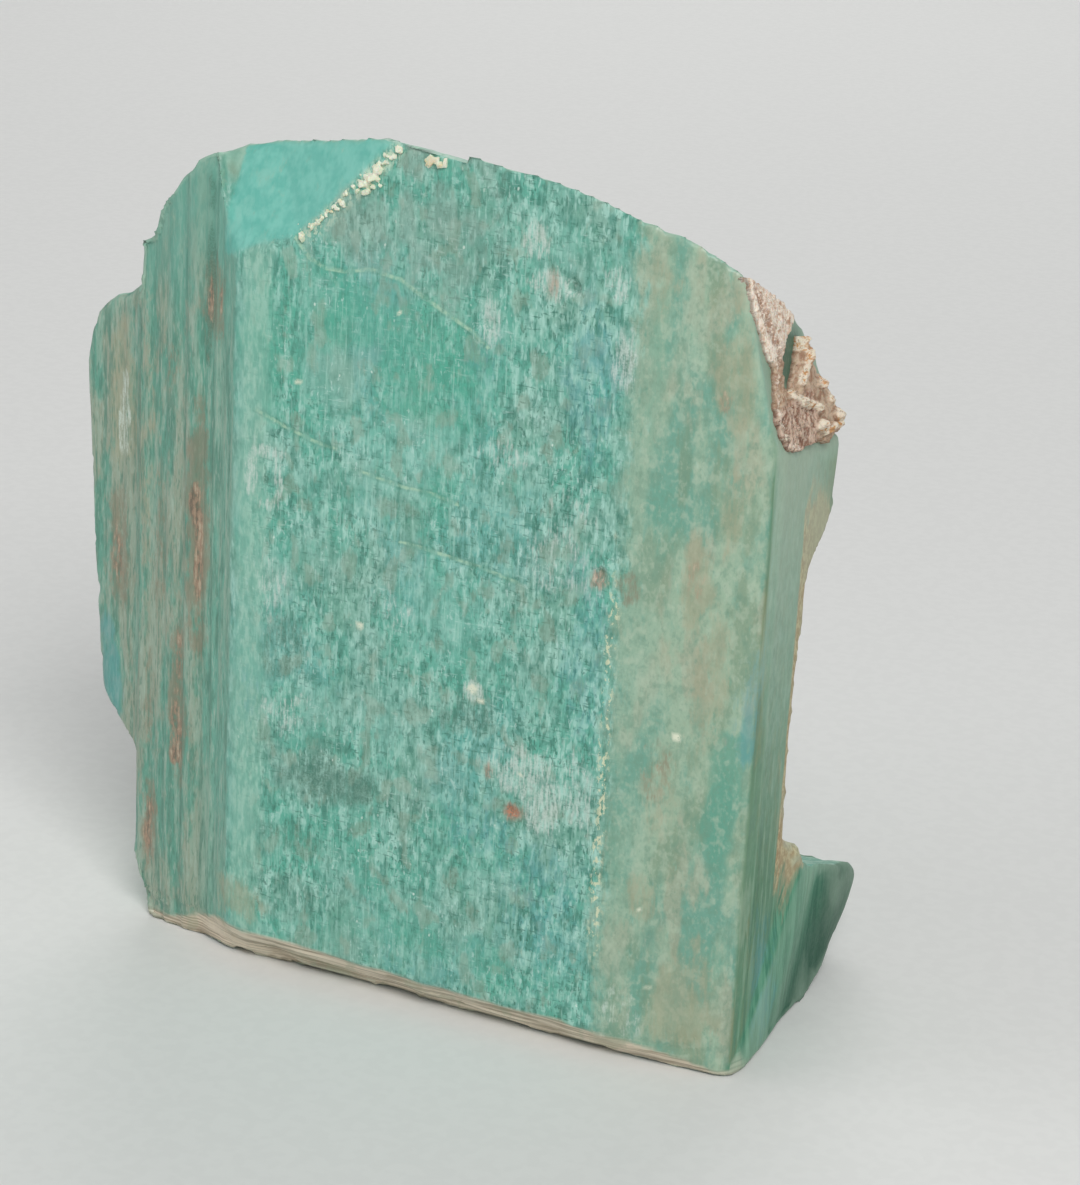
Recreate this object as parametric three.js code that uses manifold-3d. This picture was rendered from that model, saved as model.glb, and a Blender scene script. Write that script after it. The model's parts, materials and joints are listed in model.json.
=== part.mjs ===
// Rough amazonite: one blocky feldspar crystal with a smaller crystal grown on its side,
// a patch of white albite on the broken shoulder, and an albite seam along one facet edge.
// Millimetres, +Z up. The large flat crystal face looks toward -Y.
import * as THREE from 'three';
import { ConvexGeometry } from 'three/addons/geometries/ConvexGeometry.js';
import { mergeVertices } from 'three/addons/utils/BufferGeometryUtils.js';
import Module from 'manifold-3d';

const wasm = await Module();
wasm.setup();

// ---------------------------------------------------------------- driving dimensions, mm
const FRONT = -2.0;            // y of the large flat face
const BACK = 34.5;             // mean y of the broken back
const FRONT_LEFT = -17.1;      // x where the flat face ends on the left
const FRONT_RIGHT = 16.5;      // x where the right bevel starts
const WALL = 28.0;             // x of the right side wall
const STOCK = 84;              // height of the uncut prism
const LEFT = -32.2;            // x of the outer edge of the striated left face
const LEFT_TURN = 13;          // degrees the striated left face is turned back
const CRUST_THICK = 1.35;      // thickness of the albite patch at its lumps
const GAP = 0.3;               // clearance between neighbouring minerals

// broken crest of the main crystal, left to right: x, y, z
const CREST = [
  [-33.5, 3.0, 57.6], [-31.8, 2.6, 58.8], [-31.6, 2.5, 63.3], [-30.5, 2.2, 64.0],
  [-29.95, 2.1, 64.5], [-29.6, 2.1, 66.2], [-28.8, 2.0, 67.3], [-27.7, 1.9, 68.4],
  [-27.0, 1.8, 69.5], [-26.6, 1.8, 70.0], [-25.8, 1.8, 70.4], [-25.4, 1.9, 71.3],
  [-24.6, 2.1, 71.8], [-21.4, 2.9, 73.1], [-18.7, 2.5, 73.9],
  [-16.0, 1.7, 74.3], [-12.5, 0.7, 74.9], [-9.2, -0.4, 75.7], [-4.9, -1.9, 76.5],
  [-2.2, -2.0, 76.5], [1.4, -2.0, 76.0], [4.6, -2.0, 75.5], [8.4, -2.0, 75.1], [12.5, -2.0, 74.2],
  [16.2, -2.0, 73.1], [20.1, -1.2, 71.9], [22.5, -0.8, 70.7], [24.9, -0.3, 69.3],
  [27.0, 0.1, 68.0], [32.0, 0.5, 66.5],
];
// where the right wall ends toward the back, bottom to top: z, y
const WALL_END = [
  [-2, 13.6], [10, 13.6], [14.9, 13.6], [16.6, 11.9], [17.6, 10.2], [18.6, 9.0], [23, 8.6],
  [28, 8.4], [32, 8.6], [36.8, 8.9], [40, 9.5], [42.8, 9.8], [43.6, 11.0], [45.4, 13.2], [46.4, 14.3], [49.2, 14.5], [53.0, 15.2],
  [54.6, 17.0], [58, 17.5], [66, 18], [84, 18],
];
// outline of the smaller crystal seen from the front: distance along its face, z
const SIDE_CRYSTAL = [
  [2.5, 12.5], [-0.6, 16.3], [-1.6, 17.2], [-2.9, 18.6], [-3.9, 19.9], [-4.3, 22.8],
  [-5.0, 32.2], [-5.5, 42.5], [-6.0, 50.7], [-5.4, 53.6], [-4.6, 55.6], [-3.3, 56.7],
  [-2.4, 57.3], [-0.9, 57.7], [0.3, 58.8], [2.5, 59.6],
];
// lower front edge, left to right: x, height of the undercut, its depth
const FOOT = [
  [-33, 0.3, 0.0], [-30, 0.5, 0.05], [-27, 1.0, 0.2], [-25, 1.9, 0.45], [-20.9, 3.3, 1.2],
  [-19.6, 3.5, 2.1], [-14.6, 3.5, 2.6], [0, 2.8, 2.2], [14, 2.6, 1.9], [20.4, 1.9, 1.2],
  [25.3, 0.9, 0.7], [28, 0.5, 0.5], [30, 0.3, 0.4],
];
// upright cracks that split the broken top and back into slabs
const TOP_CUTS = [-21.6, -15.3, -9.6, -4.9, 2.6, 7.5, 14.3, 18.6, 23.4];
const BACK_CUTS = [-30.2, -26.5, -19.0, -15.2, -6.4, -1.2, 8.8, 13.1, 20.0, 24.6];
const BACK_BREAKS = [6, 20, 33, 47, 61];
// outline of the albite patch on the shoulder face: across, up
const CRUST = [
  [-0.1, 0.4], [1.3, -0.7], [3.3, -1.9], [5.2, -3.1], [6.8, -4.4], [6.9, -5.2], [5.3, -5.9],
  [3.7, -7.3], [2.9, -8.7], [3.1, -10.1], [4.5, -10.0], [5.7, -9.0], [7.0, -7.4], [8.3, -6.0],
  [9.3, -8.0], [10.7, -10.0], [11.9, -10.7], [13.1, -12.4], [15.0, -14.3], [15.1, -15.0],
  [13.9, -15.8], [12.6, -15.7], [11.2, -16.1], [9.4, -15.3], [6.7, -15.2], [3.1, -14.8],
  [1.7, -14.2], [0.9, -13.0], [0.5, -11.8], [0.7, -10.4], [1.5, -9.1], [1.9, -7.8], [1.1, -6.3],
  [0.4, -4.5], [-0.1, -2.4],
];
// albite grains along the facet edge: share of the edge from its low end, radius
const SEAM_GRAINS = [
  [0.0, 0.6], [0.06, 0.38], [0.21, 0.34], [0.4, 0.5], [0.46, 0.36], [0.63, 0.74], [0.7, 0.66],
  [0.76, 0.95], [0.83, 0.62], [0.91, 0.42], [0.985, 0.72],
];
const SEAM_WIDTH = 0.5;
const KNOT = [[-2.2, 75.0, 0.75], [-1.2, 75.1, 0.95], [-0.9, 75.5, 0.7]];   // x, z, radius

const RAD = Math.PI / 180;

// ---------------------------------------------------------------- small helpers
const lerp = (a, b, t) => a + (b - a) * t;
const clamp = (v, a, b) => Math.min(b, Math.max(a, v));

// value at x of a line through sorted rows; col picks the column read
function along(rows, x, col) {
  if (x <= rows[0][0]) return rows[0][col];
  for (let i = 1; i < rows.length; i++) {
    if (x <= rows[i][0]) {
      const t = (x - rows[i - 1][0]) / (rows[i][0] - rows[i - 1][0]);
      return lerp(rows[i - 1][col], rows[i][col], t);
    }
  }
  return rows[rows.length - 1][col];
}

function hash(i, j, k) {
  const s = Math.sin(i * 127.1 + j * 311.7 + k * 74.7) * 43758.5453;
  return s - Math.floor(s);
}

// smooth noise from -1 to 1
function noise(x, y, seed) {
  const i = Math.floor(x), j = Math.floor(y);
  const u = x - i, v = y - j;
  const su = u * u * (3 - 2 * u), sv = v * v * (3 - 2 * v);
  const low = lerp(hash(i, j, seed), hash(i + 1, j, seed), su);
  const high = lerp(hash(i, j + 1, seed), hash(i + 1, j + 1, seed), su);
  return lerp(low, high, sv) * 2 - 1;
}

// a flight of broken ledges going away from an edge, one slab of stone at a time:
// rows of distance, fall. It starts as a plain slope, so that the edge is no thin fin
function flight(count, run, rate, slab, at, seed) {
  let t = 1.8 + 1.4 * hash(slab, 40, seed), h = t * rate * (1 + 0.2 * hash(slab, 41, seed));
  const rows = [[0, 0], [t, h]];
  for (let k = 0; k < count; k++) {
    const r = run * (0.35 + 1.3 * hash(slab, k, seed)) * (1 + 0.25 * noise(at / 4, k * 5.3, seed));
    const aim = rate * (t + r) + run * 0.5 * (hash(slab, k, seed + 1) - 0.5);
    const low = Math.max(h + 0.2 * r * rate, aim);
    rows.push([t + 0.45, lerp(h, low, 0.75)], [t + r, low]);
    t += r;
    h = low;
  }
  return rows;
}

// grid lines through a row of panels, each panel keeping its number
function panelLines(cuts, from, to) {
  const edges = [from, ...cuts, to], lines = [];
  for (let k = 0; k + 1 < edges.length; k++) {
    const a = edges[k] + (k ? 0.15 : 0), b = edges[k + 1] - 0.15;
    lines.push({ at: a, cell: k }, { at: lerp(a, b, 0.5), cell: k }, { at: b, cell: k });
  }
  return lines;
}

const steps = (from, to, count) => Array.from({ length: count + 1 },
  (_, i) => lerp(from, to, i / count));

// a geometry as a closed solid, turned outside out if a mapping mirrored it
function solid(geometry) {
  const g = geometry.clone();
  g.deleteAttribute('normal');
  g.deleteAttribute('uv');
  const m = mergeVertices(g, 1e-4);
  const p = m.attributes.position.array, t = m.index.array;
  const a = new THREE.Vector3(), b = new THREE.Vector3(), c = new THREE.Vector3();
  let volume = 0;
  for (let i = 0; i < t.length; i += 3) {
    a.fromArray(p, t[i] * 3);
    b.fromArray(p, t[i + 1] * 3);
    c.fromArray(p, t[i + 2] * 3);
    volume += a.dot(b.cross(c));
  }
  const tri = new Uint32Array(t);
  if (volume < 0) for (let i = 0; i < tri.length; i += 3) [tri[i], tri[i + 1]] = [tri[i + 1], tri[i]];
  const mesh = new wasm.Mesh({ numProp: 3, vertProperties: new Float32Array(p), triVerts: tri });
  return new wasm.Manifold(mesh);
}

// a block with one sculpted side: near(u, v) is its depth, the other side is flat at far
function sculptedBlock(us, vs, near, far, place) {
  const nu = us.length - 1, nv = vs.length - 1;
  const g = new THREE.BoxGeometry(1, 1, 1, nu, nv, 1);
  const p = g.attributes.position;
  for (let i = 0; i < p.count; i++) {
    const u = us[Math.round((p.getX(i) + 0.5) * nu)];
    const v = vs[Math.round((p.getY(i) + 0.5) * nv)];
    const w = p.getZ(i) < 0 ? near(u, v) : far;
    p.setXYZ(i, ...place(u, v, w));
  }
  return solid(g);
}

// everything in front of a plane, as a big box resting on it
function beyond(point, normal, size = 160) {
  const n = new THREE.Vector3(...normal).normalize();
  const g = new THREE.BoxGeometry(size, size, size);
  g.translate(0, 0, size / 2);
  g.applyQuaternion(new THREE.Quaternion().setFromUnitVectors(new THREE.Vector3(0, 0, 1), n));
  g.translate(...point);
  return solid(g);
}

// an upright prism on a plan outline
function prism(plan, z0, z1) {
  const shape = new THREE.Shape(plan.map(([x, y]) => new THREE.Vector2(x, y)));
  const g = new THREE.ExtrudeGeometry(shape, { depth: z1 - z0, bevelEnabled: false });
  g.translate(0, 0, z0);
  return solid(g);
}

// points from a to b with small growth steps, rise being their height off the line
function striated(a, b, count, rise, seed) {
  const out = [];
  const dx = b[0] - a[0], dy = b[1] - a[1], len = Math.hypot(dx, dy);
  const nx = dy / len, ny = -dx / len;
  let off = 0;
  for (let i = 1; i < count; i++) {
    const t = (i + 0.5 * (hash(i, 1, seed) - 0.5)) / count;
    const x = a[0] + dx * t, y = a[1] + dy * t;
    out.push([x + nx * off, y + ny * off]);
    off = (hash(i, 2, seed) - 0.5) * 2 * rise;
    const s = 0.12 / len;
    out.push([x + dx * s + nx * off, y + dy * s + ny * off]);
  }
  return out;
}

// ---------------------------------------------------------------- the main crystal
const leftDir = [-Math.cos(LEFT_TURN * RAD), Math.sin(LEFT_TURN * RAD)];
const slabStart = [-23.3, 0.55];
const slabEnd = [LEFT, slabStart[1] + (slabStart[0] - LEFT) * Math.tan(LEFT_TURN * RAD)];

const plan = [
  [FRONT_LEFT, FRONT], [FRONT_RIGHT, FRONT],
  [21.9, -0.97], [27.0, 0.05], [27.8, 0.9], [28.1, 2.6], [WALL, 8.0], [WALL + 0.1, 16.0],
  [WALL + 0.2, 22.0], [WALL - 0.7, 34.0], [22.0, 40.0], [-30.0, 40.0],
  [-34.4, 31.0], ...striated([-34.4, 31.0], [-33.0, 4.6], 9, 0.35, 5), [-32.8, 4.2],
  slabEnd, ...striated(slabEnd, slabStart, 9, 0.2, 8), slabStart,
  [-22.9, 0.1], [-22.2, 0.0], [-21.6, -0.6], [-20.9, -0.85], [-19.75, -1.74],
];
let crystal = prism(plan, 0, STOCK);

// broken top: falls away from the crest toward the back in ledges
const topX = CREST.map((r) => ({ at: r[0], cell: -1 })).concat(panelLines(TOP_CUTS, -36, 31))
  .sort((a, b) => a.at - b.at);
for (const line of topX) line.cell = TOP_CUTS.filter((c) => c < line.at).length;
const TOP_STEPS = 8;
function topPoint(line, j, w) {
  const x = line.at, y0 = along(CREST, x, 1), z0 = along(CREST, x, 2);
  const right = clamp((x - 6) / 12, 0, 1) * clamp((27 - x) / 4, 0.35, 1);
  const rows = flight(TOP_STEPS, 5.4, 0.55 + 0.2 * right, line.cell, x, 11);
  const y = j === 0 ? -6 : j > rows.length ? 90 : y0 + rows[j - 1][0];
  const row = rows[clamp(j - 1, 0, rows.length - 1)];
  const late = Math.max(0, row[0] - 8) * 0.5 * clamp((x - 8) / 14, 0, 1);
  return [x, y, w === null ? z0 - row[1] - late + (j === 0 ? 0.3 : 0) : w];
}
const topJ = Array.from({ length: 2 * TOP_STEPS + 4 }, (_, j) => j);
const topTool = sculptedBlock(topX, topJ, () => null, 110, topPoint);

// broken back: upright slabs snapped off at different heights and depths
const backX = panelLines(BACK_CUTS, -46, 34), backZ = panelLines(BACK_BREAKS, -12, 92);
function backPoint(u, v, w) {
  const z = v.at + 11 * (hash(u.cell, v.cell === 0 ? 0 : Math.round(v.cell / 9), 22) - 0.5);
  const bow = (u.at < -3 ? 0.0042 : 0.0022) * (u.at + 3) ** 2 + 0.0012 * (z - 34) ** 2;
  const slab = 1.1 * noise(u.cell * 0.6, 0, 23) + 2.2 * (hash(u.cell, v.cell, 24) - 0.5);
  const lean = 0.06 * (hash(u.cell, v.cell, 26) - 0.5) * (v.at - 34);
  return [u.at, w === null ? BACK - bow + slab + lean + 0.3 * noise(u.at / 3, z / 3, 25) : w, z];
}
const backTool = sculptedBlock(backX, backZ, () => null, 90, backPoint);

// right side: the wall stops short in the middle, leaving a bite between shoulder and toe
const BITE_BREAKS = [13, 21.4, 29.5, 41.3];
const biteZ = WALL_END.map((r) => r[0]).concat([62, 70, 76], BITE_BREAKS,
  BITE_BREAKS.map((z) => z + 0.3)).sort((a, b) => a - b);
const BITE_STEPS = 6;
function bitePoint(j, z, w) {
  const rows = flight(BITE_STEPS, 5.6, 0.68, BITE_BREAKS.filter((c) => c < z).length, z, 31);
  const row = rows[Math.min(j, rows.length - 1)];
  const s = j >= rows.length ? 90 : row[0];
  return [w === null ? WALL + 0.25 - row[1] : w, along(WALL_END, z, 1) + s, z];
}
const biteJ = Array.from({ length: 2 * BITE_STEPS + 3 }, (_, j) => j);
// the floor of the bite dips to the back and inward
const floorX = steps(2, 32, 11), floorY = steps(4, 44, 15);
const floorZ = (x, y) => 14.7 - 0.31 * (y - 14.2) - 0.12 * (WALL - x) - 0.03 * (WALL - x)
  + clamp((WALL - x) / 3, 0, 1) * 0.7 * (noise(x / 3.3, y / 3.7, 33) - 0.6);
const biteTool = sculptedBlock(biteJ, biteZ, () => null, 70, bitePoint)
  .intersect(sculptedBlock(floorX, floorY, floorZ, 120, (u, v, w) => [u, v, w]));

// the toe below the bite: underside lifts off the ground, end leans back
const toeTool = beyond([WALL, 18.3, 0], [0.25, 0.27, -0.93])
  .add(beyond([WALL, 30.9, 5.2], [0.15, 0.88, -0.45]))
  .add(beyond([WALL, 29.6, 9.0], [0.1, 0.62, 0.78]).intersect(beyond([12, 0, 0], [1, 0, 0]))
    .subtract(beyond([0, 0, 16], [0, 0, 1])));

// smooth termination facets at the upper left, a shallow valley between the two
const tilt = 28 * RAD;
const facetNormal = (up) => {
  const a = (up + 90) * RAD;
  return [Math.cos(a) * Math.sin(tilt), -Math.cos(tilt), Math.sin(a) * Math.sin(tilt)];
};
const seamLow = [-13.7, FRONT, 66.9];
const seamHigh = [-4.9, FRONT, 76.0];
const seamAngle = Math.atan2(seamHigh[2] - seamLow[2], seamHigh[0] - seamLow[0]) / RAD;
const facetTool = beyond(seamLow, facetNormal(seamAngle))
  .intersect(beyond(seamLow, facetNormal(22)))
  .subtract(beyond([-20.3, 0, 65], [-1, 0.12, -0.42]));
// the top of the striated slabs leans back beside the facets
const slabTool = beyond([-20, -1.75, 63.5], [-0.16, -0.955, 0.25])
  .intersect(beyond([-20.3, 0, 65], [-1, 0.12, -0.42]));

// lower front edge: cut back in thin layers
const footX = steps(-33, 30, 21), footZ = [-1, 0, 0.16, 0.2, 0.42, 0.46, 0.68, 0.72, 0.94, 1, 1.3];
const layerCut = [1, 1, 0.94, 0.72, 0.68, 0.46, 0.42, 0.2, 0.12, -0.05, -0.1];
const frontAt = (x) => (x < slabStart[0] ? slabStart[1] + (slabStart[0] - x) * Math.tan(LEFT_TURN * RAD)
  : x < -19.75 ? lerp(slabStart[1], -1.74, (x - slabStart[0]) / 3.55)
    : x < FRONT_RIGHT ? FRONT : FRONT + (x - FRONT_RIGHT) * 0.195);
function footPoint(x, j, w) {
  const wave = j > 1 && j < 9 ? 0.07 * noise(x / 3, j * 1.3, 41) : 0;
  const y = frontAt(x) + along(FOOT, x, 2) * (layerCut[j] + wave) - (j > 8 ? 0.25 : 0);
  return [x, w === null ? y : w, (footZ[j] + wave) * along(FOOT, x, 1)];
}
const footTool = sculptedBlock(footX, footZ.map((_, j) => j), () => null, -12, footPoint);

// chips off the base corners, and the lifted heel under the back
const cornerTool = beyond([-32.1, 3, 5.0], [-0.93, -0.05, -0.36]);
const heelTool = beyond([0, 29.5, 0], [0.02, 0.42, -0.9])
  .add(beyond([-27, 22, 0], [-0.55, 0.12, -0.82]));

// shoulder broken away on the right, where the albite sits
const shoulderNormal = [0.969, 0.048, 0.241];
const shoulderPoint = [24.9, -0.3, 69.1];
const onShoulder = (d) => shoulderPoint.map((c, i) => c + shoulderNormal[i] * d);

for (const tool of [topTool, backTool, biteTool, toeTool, facetTool, slabTool, footTool,
  cornerTool, heelTool, beyond(onShoulder(-GAP), shoulderNormal)]) {
  crystal = crystal.subtract(tool);
}

// ---------------------------------------------------------------- the smaller side crystal
const sideShape = new THREE.Shape(SIDE_CRYSTAL.map(([u, z]) => new THREE.Vector2(u, z)));
const sideGeo = new THREE.ExtrudeGeometry(sideShape, {
  depth: 13, bevelEnabled: true, bevelThickness: 0.5, bevelSize: 0.45, bevelOffset: -0.45,
  bevelSegments: 1,
});
sideGeo.rotateX(Math.PI / 2);
sideGeo.translate(0, 13.5, 0);
sideGeo.rotateZ(-LEFT_TURN * RAD);
sideGeo.translate(-33.5, 4.4, 0);
const sideEdge = (t) => [-33 + leftDir[0] * t, 4.4 + leftDir[1] * t];
const sidePlan = [
  [-30, 4.2], [-30, 20.0], [-35.5, 19.3], [-37.3, 18.1], [-39.4, 15.2], [-39.8, 11.0],
  sideEdge(7.4), ...striated(sideEdge(7.4), sideEdge(0), 6, 0.2, 51), sideEdge(0),
];
const sideCrystal = solid(sideGeo).intersect(prism(sidePlan, 5, 65));
crystal = crystal.add(sideCrystal);

// ---------------------------------------------------------------- albite grains on the facet edge
// a lumpy grain: jittered points on a flattened ball, hulled
function grain(x, y, z, radius, seed) {
  const pts = [];
  for (let i = 0; i < 16; i++) {
    const polar = Math.acos(1 - 2 * (i + 0.5) / 16), turn = i * 2.4 + seed;
    const r = radius * (0.82 + 0.3 * hash(i, seed, 61));
    pts.push(new THREE.Vector3(x + r * Math.sin(polar) * Math.cos(turn),
      y + 0.62 * r * Math.sin(polar) * Math.sin(turn), z + r * Math.cos(polar)));
  }
  return solid(new ConvexGeometry(pts));
}
function seam(extra) {
  const dx = seamHigh[0] - seamLow[0], dz = seamHigh[2] - seamLow[2];
  const vein = new THREE.BoxGeometry(Math.hypot(dx, dz) * 0.985 + 2 * extra,
    SEAM_WIDTH + 2 * extra, SEAM_WIDTH + 2 * extra);
  vein.rotateY(-Math.atan2(dz, dx));
  vein.translate(seamLow[0] + dx * 0.4925, FRONT, seamLow[2] + dz * 0.4925);
  let body = solid(vein);
  SEAM_GRAINS.forEach(([t, r], i) => {
    const side = 0.3 * (hash(i, 5, 62) - 0.5);
    body = body.add(grain(seamLow[0] + dx * t + side, FRONT - 0.05, seamLow[2] + dz * t - side,
      r + extra, i));
  });
  return body;
}
function knot(extra) {
  return KNOT.map(([x, z, r], i) => grain(x, FRONT, z, r + extra, i + 30))
    .reduce((a, b) => a.add(b));
}
crystal = crystal.subtract(seam(GAP)).subtract(knot(GAP));

// ---------------------------------------------------------------- albite patch on the shoulder
const across = new THREE.Vector3(0, 0, 1).cross(new THREE.Vector3(...shoulderNormal)).normalize();
const upward = new THREE.Vector3(...shoulderNormal).cross(across).normalize();
const onFace = (a, b, d) => new THREE.Vector3(...onShoulder(d))
  .addScaledVector(across, a).addScaledVector(upward, b).toArray();
const crustShape = new THREE.Shape(CRUST.map(([a, b]) => new THREE.Vector2(a, b)));
const crustGeo = new THREE.ExtrudeGeometry(crustShape, { depth: 5, bevelEnabled: false });
const crustPos = crustGeo.attributes.position;
for (let i = 0; i < crustPos.count; i++) {
  crustPos.setXYZ(i, ...onFace(crustPos.getX(i), crustPos.getY(i), crustPos.getZ(i)));
}
// thin toward the front edge, fibrous low down, thick lumps toward the back
function crustRelief(a, b) {
  const lumps = clamp((a - 6) / 4, 0, 1);
  const fibres = clamp((-9 - b) / 3, 0, 1) * (1 - lumps);
  const low = 0.28 * noise(a / 1.6, b / 1.8, 71) + 0.25 * fibres * noise(a / 0.9, b / 6, 72);
  const high = 0.8 * noise(a / 2.2, b / 2.2, 73) + 0.4 * noise(a / 1.1, b / 1.1, 74);
  return Math.max(0.35, CRUST_THICK * (0.5 + 0.35 * lumps) + lerp(low, high, lumps));
}
const crust = solid(crustGeo)
  .subtract(sculptedBlock(steps(-2, 16.6, 20), steps(-17.5, 2, 20), crustRelief, 9, onFace));

// ---------------------------------------------------------------- pieces, bottom centre at 0

const group = new THREE.Group();
group.name = 'rough_amazonite';

function addPiece(name, body, color, roughness) {
  const mesh = body.getMesh();
  const g = new THREE.BufferGeometry();
  g.setAttribute('position', new THREE.Float32BufferAttribute(mesh.vertProperties, 3));
  g.setIndex(Array.from(mesh.triVerts));
  const flat = g.toNonIndexed();
  flat.computeVertexNormals();
  const piece = new THREE.Mesh(flat, new THREE.MeshStandardMaterial({
    color, roughness, metalness: 0,
  }));
  piece.name = name;
  group.add(piece);
  return piece;
}
addPiece('amazonite_crystal', crystal, 0x58a794, 0.5);
addPiece('albite_crust', crust, 0xd9b8a4, 0.75);
addPiece('albite_seam', seam(0), 0xf2ead2, 0.65);
addPiece('albite_knot', knot(0), 0xf2ead2, 0.65);

const box = new THREE.Box3().setFromObject(group);
for (const piece of group.children) {
  piece.geometry.translate(-(box.min.x + box.max.x) / 2, -(box.min.y + box.max.y) / 2, -box.min.z);
}

export default group;
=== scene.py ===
# %% [markdown]
# # A rough amazonite, dressed for the camera
# The part is a hand-sized piece of green feldspar: one blocky crystal with flat front faces, a smaller
# crystal grown along its left edge, a broken top and back, and three small growths of white albite.
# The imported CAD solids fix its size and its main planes. This script turns them into stone: it carves
# growth lines, split plates and chips into a fine mesh, then builds the finishes from noise.
#
# # Load the frame
# The CAD solids come in as a fixed frame, in metres, with +Z up. All the shaping below is thought out
# in millimetres, which suit a stone this small.

# %% Load the frame
import json
import math

import bmesh
import bpy
import numpy as np
from mathutils import Matrix, Vector

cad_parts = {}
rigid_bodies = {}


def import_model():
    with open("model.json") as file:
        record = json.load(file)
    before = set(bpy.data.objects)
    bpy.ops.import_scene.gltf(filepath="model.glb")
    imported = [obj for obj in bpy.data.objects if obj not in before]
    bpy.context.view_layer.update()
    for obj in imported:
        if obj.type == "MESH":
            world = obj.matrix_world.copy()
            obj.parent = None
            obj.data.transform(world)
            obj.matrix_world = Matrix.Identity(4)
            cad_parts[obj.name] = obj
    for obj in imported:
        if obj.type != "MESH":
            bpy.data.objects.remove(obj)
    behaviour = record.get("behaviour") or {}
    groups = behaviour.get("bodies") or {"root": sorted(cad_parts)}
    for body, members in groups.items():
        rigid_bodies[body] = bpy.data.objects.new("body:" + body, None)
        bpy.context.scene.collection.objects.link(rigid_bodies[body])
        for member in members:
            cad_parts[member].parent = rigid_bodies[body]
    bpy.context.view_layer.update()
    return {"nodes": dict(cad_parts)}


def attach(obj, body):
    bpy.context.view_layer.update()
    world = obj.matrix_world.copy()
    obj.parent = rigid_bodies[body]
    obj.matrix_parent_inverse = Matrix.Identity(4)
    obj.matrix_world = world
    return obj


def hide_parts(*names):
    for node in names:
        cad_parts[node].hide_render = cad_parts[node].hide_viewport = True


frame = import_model()
MM = 0.001

# %% [markdown]
# # Camera
# A mineral portrait is shot with a long lens from a little above, so that the upright edges stay
# nearly parallel. The lens is given by its focal length in pixels of the 1080 x 1185 frame. Blender
# measures the lens against the long side, here the height. The camera is rolled by three degrees.

# %% Camera
FRAME_HIGH = 1185
FOCAL_PIXELS = 3264
EYE = Vector((115.987, -246.861, 131.933)) * MM
TURN, RISE, ROLL = (math.radians(a) for a in (24.0, 20.0, 3.0))

toward_eye = Vector((math.sin(TURN) * math.cos(RISE), -math.cos(TURN) * math.cos(RISE), math.sin(RISE)))
level_right = (-toward_eye).cross(Vector((0, 0, 1))).normalized()
level_up = level_right.cross(-toward_eye)
frame_right = level_right * math.cos(ROLL) + level_up * math.sin(ROLL)
frame_up = level_up * math.cos(ROLL) - level_right * math.sin(ROLL)

lens = bpy.data.cameras.new("portrait_lens")
lens.sensor_width = 36
lens.lens = FOCAL_PIXELS / FRAME_HIGH * lens.sensor_width
lens.clip_start, lens.clip_end = 0.01, 20
camera = bpy.data.objects.new("camera", lens)
camera.matrix_world = Matrix((
    (frame_right.x, frame_up.x, toward_eye.x, EYE.x),
    (frame_right.y, frame_up.y, toward_eye.y, EYE.y),
    (frame_right.z, frame_up.z, toward_eye.z, EYE.z),
    (0, 0, 0, 1)))
bpy.context.scene.collection.objects.link(camera)
bpy.context.scene.camera = camera
print("lens, mm:", round(lens.lens, 1))

# %% [markdown]
# # Noise for carving
# A broken stone is never random dots: it is smooth noise, and plates with straight edges. Blender has
# noise in its own library, but it answers one point at a time, and there are a few hundred thousand
# points here. Two small array functions do it all at once: `noise` is gradient noise from -1 to 1, and
# `plates` cuts a plane into rough oblong cells and gives each cell its own random height, 0 to 1.

# %% Noise for carving
def scramble(i, j, k, seed):
    """Whole numbers to well mixed 32-bit numbers."""
    h = (i.astype(np.int64) * 73856093 ^ j.astype(np.int64) * 19349663
         ^ k.astype(np.int64) * 83492791 ^ seed * 40503)
    h = (h & 0xFFFFFFFF).astype(np.uint32)
    h ^= h >> np.uint32(15)
    h *= np.uint32(0x2C1B3C6D)
    h ^= h >> np.uint32(12)
    h *= np.uint32(0x297A2D39)
    return h ^ (h >> np.uint32(15))


def chance(i, j, seed):
    """A random number from 0 to 1 for each pair of whole numbers."""
    return scramble(i, j, np.zeros(np.shape(i)), seed) / 4294967295.0


def noise(x, y, z, seed=0):
    """Smooth gradient noise, -1 to 1, one bump per unit."""
    x, y, z = np.broadcast_arrays(x, y, z)
    i, j, k = np.floor(x), np.floor(y), np.floor(z)
    fx, fy, fz = x - i, y - j, z - k
    ease = [f * f * f * (f * (f * 6 - 15) + 10) for f in (fx, fy, fz)]
    total = 0
    for a in (0, 1):
        for b in (0, 1):
            for c in (0, 1):
                h = scramble(i + a, j + b, k + c, seed)
                slope = [(((h >> np.uint32(s)) & np.uint32(255)) / 127.5 - 1) for s in (0, 8, 16)]
                dot = slope[0] * (fx - a) + slope[1] * (fy - b) + slope[2] * (fz - c)
                share = 1
                for e, corner in zip(ease, (a, b, c)):
                    share = share * (e if corner else 1 - e)
                total = total + share * dot
    return np.clip(total * 1.4, -1, 1)


def rough(x, y, z, layers, seed=0):
    """Noise on noise: each layer is twice as fine and half as strong."""
    return sum(noise(x * 2 ** n, y * 2 ** n, z * 2 ** n, seed + n) / 2 ** n for n in range(layers))


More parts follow.
